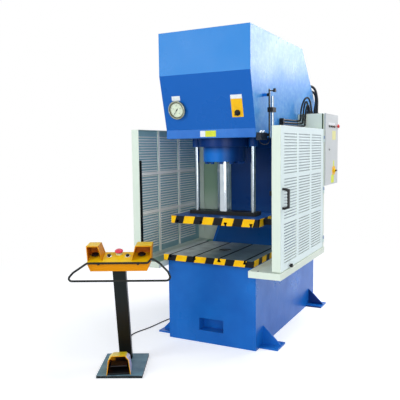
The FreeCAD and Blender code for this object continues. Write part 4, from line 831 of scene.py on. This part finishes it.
# %% Glass
glass, tree, out = new_material("gauge_glass")
clear_pane = add(tree, "ShaderNodeBsdfTransparent", {"Color": (0.97, 0.98, 0.97, 1)})
smudge = ramp(tree, noise(tree, 0.03, 3.0), 0.35, 0.7, 0.04, 0.12)
sheen = add(tree, "ShaderNodeBsdfPrincipled", {
    "Base Color": (1, 1, 1, 1), "Roughness": smudge, "Metallic": 1.0})
glance = add(tree, "ShaderNodeFresnel", {"IOR": 1.35}).outputs[0]
pane = add(tree, "ShaderNodeMixShader", {0: glance, 1: clear_pane.outputs[0], 2: sheen.outputs[0]})
tree.links.new(pane.outputs[0], out.inputs[0])
finish(glass, "gauge_lens")

# %% [markdown]
# ## Label places
# The cover, the head's lip, the cabinet's face and its front edge carry thin plates. Each is a plain
# field of its own colour, a little raised, with rounded corners.

# %% Label places
white_field = print_ink("white_label_field", (236, 240, 240), 0.45)
yellow_field = print_ink("yellow_label_field", (248, 190, 10), 0.45)
yellow_green_field = print_ink("yellow_green_label_field", (214, 222, 50), 0.45)
pale_yellow_field = print_ink("pale_yellow_label_field", (232, 230, 158), 0.45)
lime_field = print_ink("lime_label_field", (224, 236, 56), 0.45)
seal = print_ink("door_seal_rubber", (74, 86, 62), 0.6)
cabinet_face, cabinet_front = 0.7023, 0.280


def plate_on(name, matrix, box, material, body="frame", thick=0.8, round_by=3.0):
    """A thin plate on a face; its box is two places across and two places up, in millimetres."""
    shape(name, lambda w: slab(w, *box, 0.05, thick, round_by, soften=0.25), material, body, matrix)


def on_front(line):
    """The matrix of an upright face that looks to the front: local X across, Y up and Z straight out."""
    return Matrix.Translation((0, line, 0)) @ Matrix.Rotation(math.radians(90), 4, "X")


cover, lip = on_cover(0, 0), on_front(head_front)
across, up, out = Vector((0, 1, 0)), Vector((0, 0, 1)), Vector((1, 0, 0))
side = Matrix.Translation((cabinet_face, 0, 0)) @ Matrix((across, up, out)).transposed().to_4x4()
plate_on("gauge_label_field", cover, (-328, -247, 258, 297), white_field)
plate_on("selector_plate_header", cover, (225, 327, 248, 281), white_field)
plate_on("selector_plate_field", cover, (225, 327, 96, 247.5), yellow_field)
plate_on("lip_label_white", lip, (-89, -40, 1817, 1869), white_field)
plate_on("lip_label_yellow_green", lip, (-39.5, 62, 1817, 1869), yellow_green_field)
for place, box, material in (
        ("upper", (535, 680, 1789, 1881), pale_yellow_field),
        ("switch_top", (584, 628, 1514, 1576), lime_field),
        ("switch_round", (548, 672, 1430, 1516), yellow_field),
        ("switch_foot", (508, 620, 1350, 1430), lime_field), ("lamps", (388, 644, 1938, 1960), white_field)):
    plate_on("cabinet_field_" + place, side, box, material, "cabinet_door", 0.6, 4.0)
plate_on("cabinet_seal_strip", on_front(cabinet_front), (664.5, 677.5, 1339, 2043), seal, "frame",
         1.2, 2.0)
print("label places on cover, lip and cabinet")

# %% [markdown]
# ## Cabinet lamps
# Four signal lamps stand in a row at the top of the cabinet's door. Each is a black bezel ring with
# a domed lens pushed through it, and a lens that isn't lit still shows its own colour.

# %% Lamps on the cabinet
lamp_level, lamp_start, lamp_step = 1.922, 0.410, 0.070
bezel_ring = [(8.6, 0.1), (13, 0.1), (13, 2.4), (12, 3.4), (8.6, 3.4), (8.6, 0.1)]
lens_dome = [(9.3, 2.0), (9.3, 8.6), (8.4, 11.0), (5.8, 12.8), (3.0, 13.6), (0, 13.8)]
lens_colours = {"white": (96, 100, 98), "green": (18, 52, 32), "amber": (92, 56, 14),
                "red": (84, 16, 16)}
for k, (colour_name, colour) in enumerate(lens_colours.items()):
    seat = side @ Matrix.Translation((lamp_start + lamp_step * k, lamp_level, 0))
    shape("lamp_bezel_" + colour_name, lambda w: lathe(w, bezel_ring, 32), black_plastic, "cabinet_door",
          seat)
    lens = plastic("lamp_lens_" + colour_name, colour, 0.8, (0.12, 0.2), coat=0.6)
    shape("lamp_lens_" + colour_name, lambda w: lathe(w, lens_dome, 32), lens, "cabinet_door",
          seat)
print("lamps", list(lens_colours))

# %% [markdown]
# ## Conduits
# Five flexible conduits rise from the glands on the frame's side and on the head's rear slope and dive
# into glands on the cabinet's roof. Both ends are clamped, so they only bow.

# %% Conduits
conduit_routes = [
    (9, [(449, -244, 1970), (458, 225, 1970), (459, 250, 1992), (461, 252, 2100), (494, 290, 2216),
         (530, 350, 2190), (536, 360, 2075)]),
    (9, [(449, -244, 1944), (479, 230, 1944), (481, 255, 1966), (483, 256, 2064), (494, 284, 2170),
         (506, 332, 2162), (506, 344, 2075)]),
    (9, [(449, -244, 1918), (499, 236, 1918), (501, 261, 1940), (503, 262, 2034), (511, 280, 2130),
         (526, 308, 2132), (528, 315, 2075)]),
    (13, [(350, 759, 2361.7), (360, 789, 2379.7), (448, 797, 2353.7), (488, 750, 2220), (494, 710, 2130),
          (494, 710, 2075)]),
    (13, [(350, 809, 2308.3), (358, 839, 2326.3), (440, 843, 2302.3), (462, 794, 2183), (460, 742, 2110),
          (460, 742, 2075)]),
]
for number, (radius, route) in enumerate(conduit_routes, 1):
    conduit = soft_curve("conduit_%d" % number, [[c / 1000 for c in p] for p in route], radius / 1000)
    conduit.data.materials.append(conduit_skin)
    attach(conduit, "frame")
    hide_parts("conduits")
print("conduits", len(conduit_routes))

# %% [markdown]
# ## Louvre lips
# Behind each slot of the two swing guards a narrow lip leans inward, as a punch leaves it when the slots
# are pressed. It lets air through but hides the machine, so a guard looks closed from the front.

# %% Louvre lips
guard_front, guard_margin, slot_length, column_step = -1018, 85, 322.3, 382.3
first_slot, group_step, row_step = 796, 360, 24
sheet_inside, lip_inside, lip_rise, lip_drop, lip_thick = 689.9, 683.0, 4.4, 9.5, 0.9


def louvre_lips(work, sign):
    """The lips of one guard, column by column, group by group and row by row."""
    for column, group, row in product(range(3), range(3), range(14)):
        y0 = guard_front + guard_margin + column * column_step + 1
        top = first_slot + group_step * group + row_step * row + lip_rise
        corners = [(sheet_inside, top), (sheet_inside, top + lip_thick),
                   (lip_inside, top - lip_drop + lip_thick), (lip_inside, top - lip_drop)]
        ends = [[work.verts.new((sign * x, y, z)) for x, z in corners] for y in (y0, y0 + slot_length - 2)]
        work.faces.new(ends[0][::-1])
        work.faces.new(ends[1])
        for k in range(4):
            work.faces.new((ends[0][k - 1], ends[0][k], ends[1][k], ends[1][k - 1]))


for side_name, sign in (("left", -1), ("right", 1)):
    shape(side_name + "_door_louvre_lips", lambda w: louvre_lips(w, sign), lip_coat, side_name + "_door",
          smooth=10)
print("lips", 2 * 3 * 3 * 14)

# %% [markdown]
# ## Pedestal's fittings
# The guard ring is one bent tube, so it becomes one smooth curve with true arcs at its corners, on two
# lugs. The two small buttons get their metal bezels and the stop button a pale sleeve under its head.

# %% Pedestal fittings
pedestal = Matrix.Translation(pedestal_foot) @ Matrix.Rotation(pedestal_turn, 4, "Z")
rim_height, panel_front, panel_slope, button_line, stop_line = 0.866, -0.132, 0.277, 0.105, 0.142
ring_line, ring_lean, ring_radius = -0.145, math.radians(46.6), 0.008
ring_corners = [(226, 0, 25), (252, -42, 18), (318, 6, 80), (382, 78, 60), (412, 153, 28), (-374, 153, 26),
                (-330, 82, 60), (-236, 0, 25)]


def ring_place(across, down):
    """A place in the plane of the guard ring, from millimetres across and down its slope."""
    return Vector((across / 1000, ring_line - down / 1000 * math.cos(ring_lean),
                   rim_height - down / 1000 * math.sin(ring_lean)))


def bent_loop(corners, steps=7):
    """The centre line of a closed tube: straight runs with an arc at each corner."""
    places = [ring_place(across, down) for across, down, bend in corners]
    line = []
    for k, (across, down, bend) in enumerate(corners):
        came = (places[k] - places[k - 1]).normalized()
        goes = (places[(k + 1) % len(places)] - places[k]).normalized()
        turn = came.angle(goes)
        start = places[k] - came * bend / 1000 * math.tan(turn / 2)
        square = (goes - came * came.dot(goes)).normalized()
        for n in range(steps + 1):
            angle = turn * n / steps
            line.append(start + (came * math.sin(angle) + square * (1 - math.cos(angle))) * bend / 1000)
    return line


ring_tube = soft_curve("guard_ring_tube", bent_loop(ring_corners), ring_radius, closed=True)
ring_tube.data.materials.append(ring_paint)
ring_tube.matrix_world = pedestal
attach(ring_tube, "frame")
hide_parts("guard_ring")


def ring_lugs(work):
    for across in (-150, 150):
        slab(work, across - 8, across + 8, -151, -128.5, 852, 862, 1.0, 2)


lugs = shape("guard_ring_lugs", ring_lugs, ring_paint, "frame", pedestal)
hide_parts("guard_ring")


def on_panel(across, line):
    """A place on the console's sloping top, in metres, with local Z square to it."""
    place = (panel_centre + across, line + panel_front, rim_height + line * panel_slope)
    return pedestal @ Matrix.Translation(place) @ Matrix.Rotation(math.atan(panel_slope), 4, "X")


bezel = [(14.7, 0.1), (21, 0.1), (21, 2.0), (18.5, 3.4), (14.7, 3.4), (14.7, 0.1)]
for side_name, across in (("left", -0.072), ("right", 0.072)):
    shape(side_name + "_start_bezel", lambda w: lathe(w, bezel, 40), pale_metal, "frame",
          on_panel(across, button_line))
sleeve = [(24.05, 0.1), (26, 0.1), (26, 14.3), (9.5, 14.3), (9.5, 14.05), (24.05, 14.05), (24.05, 0.1)]
shape("stop_button_sleeve", lambda w: lathe(w, sleeve), sleeve_paint, "frame",
      on_panel(0, stop_line))
print("guard ring, two bezels and a sleeve")

# %% [markdown]
# ## Small fittings of the frame
# The junction box at the head's foot has two chromed caps, and a thin lead hangs from it and rises to
# the switch rail. A black screw holds the right tray.

# %% Small fittings
box_side, box_top, lead_radius = 0.445, 1.844, 0.003
cap = [(13.2, 0.0), (14.6, 0.0), (14.6, 9.0), (13.0, 16.0), (8.0, 20.0), (0, 21.5)]
for number, y in enumerate((-0.808, -0.752), 1):
    shape("junction_cap_%d" % number, lambda w: lathe(w, cap, 40), hard_chrome, "frame",
          Matrix.Translation((box_side, y, box_top)))
lead_route = [(445, -835, 1784), (449, -838, 1762), (462, -812, 1746), (478, -752, 1744), (483, -704, 1764),
              (483, -698, 1802)]
lead = soft_curve("switch_lead", [[c / 1000 for c in p] for p in lead_route], lead_radius, 3)
lead.data.materials.append(conduit_skin)
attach(lead, "frame")
screw = [(0, 3.0), (3.2, 3.0), (3.2, 4.6), (6.2, 4.0), (7.4, 2.2), (7.4, 0.05)]
shape("tray_screw", lambda w: lathe(w, screw, 32), black_plastic, "frame",
      Matrix.Translation((0.503, -1.020, 0.728)))
print("small fittings ready")
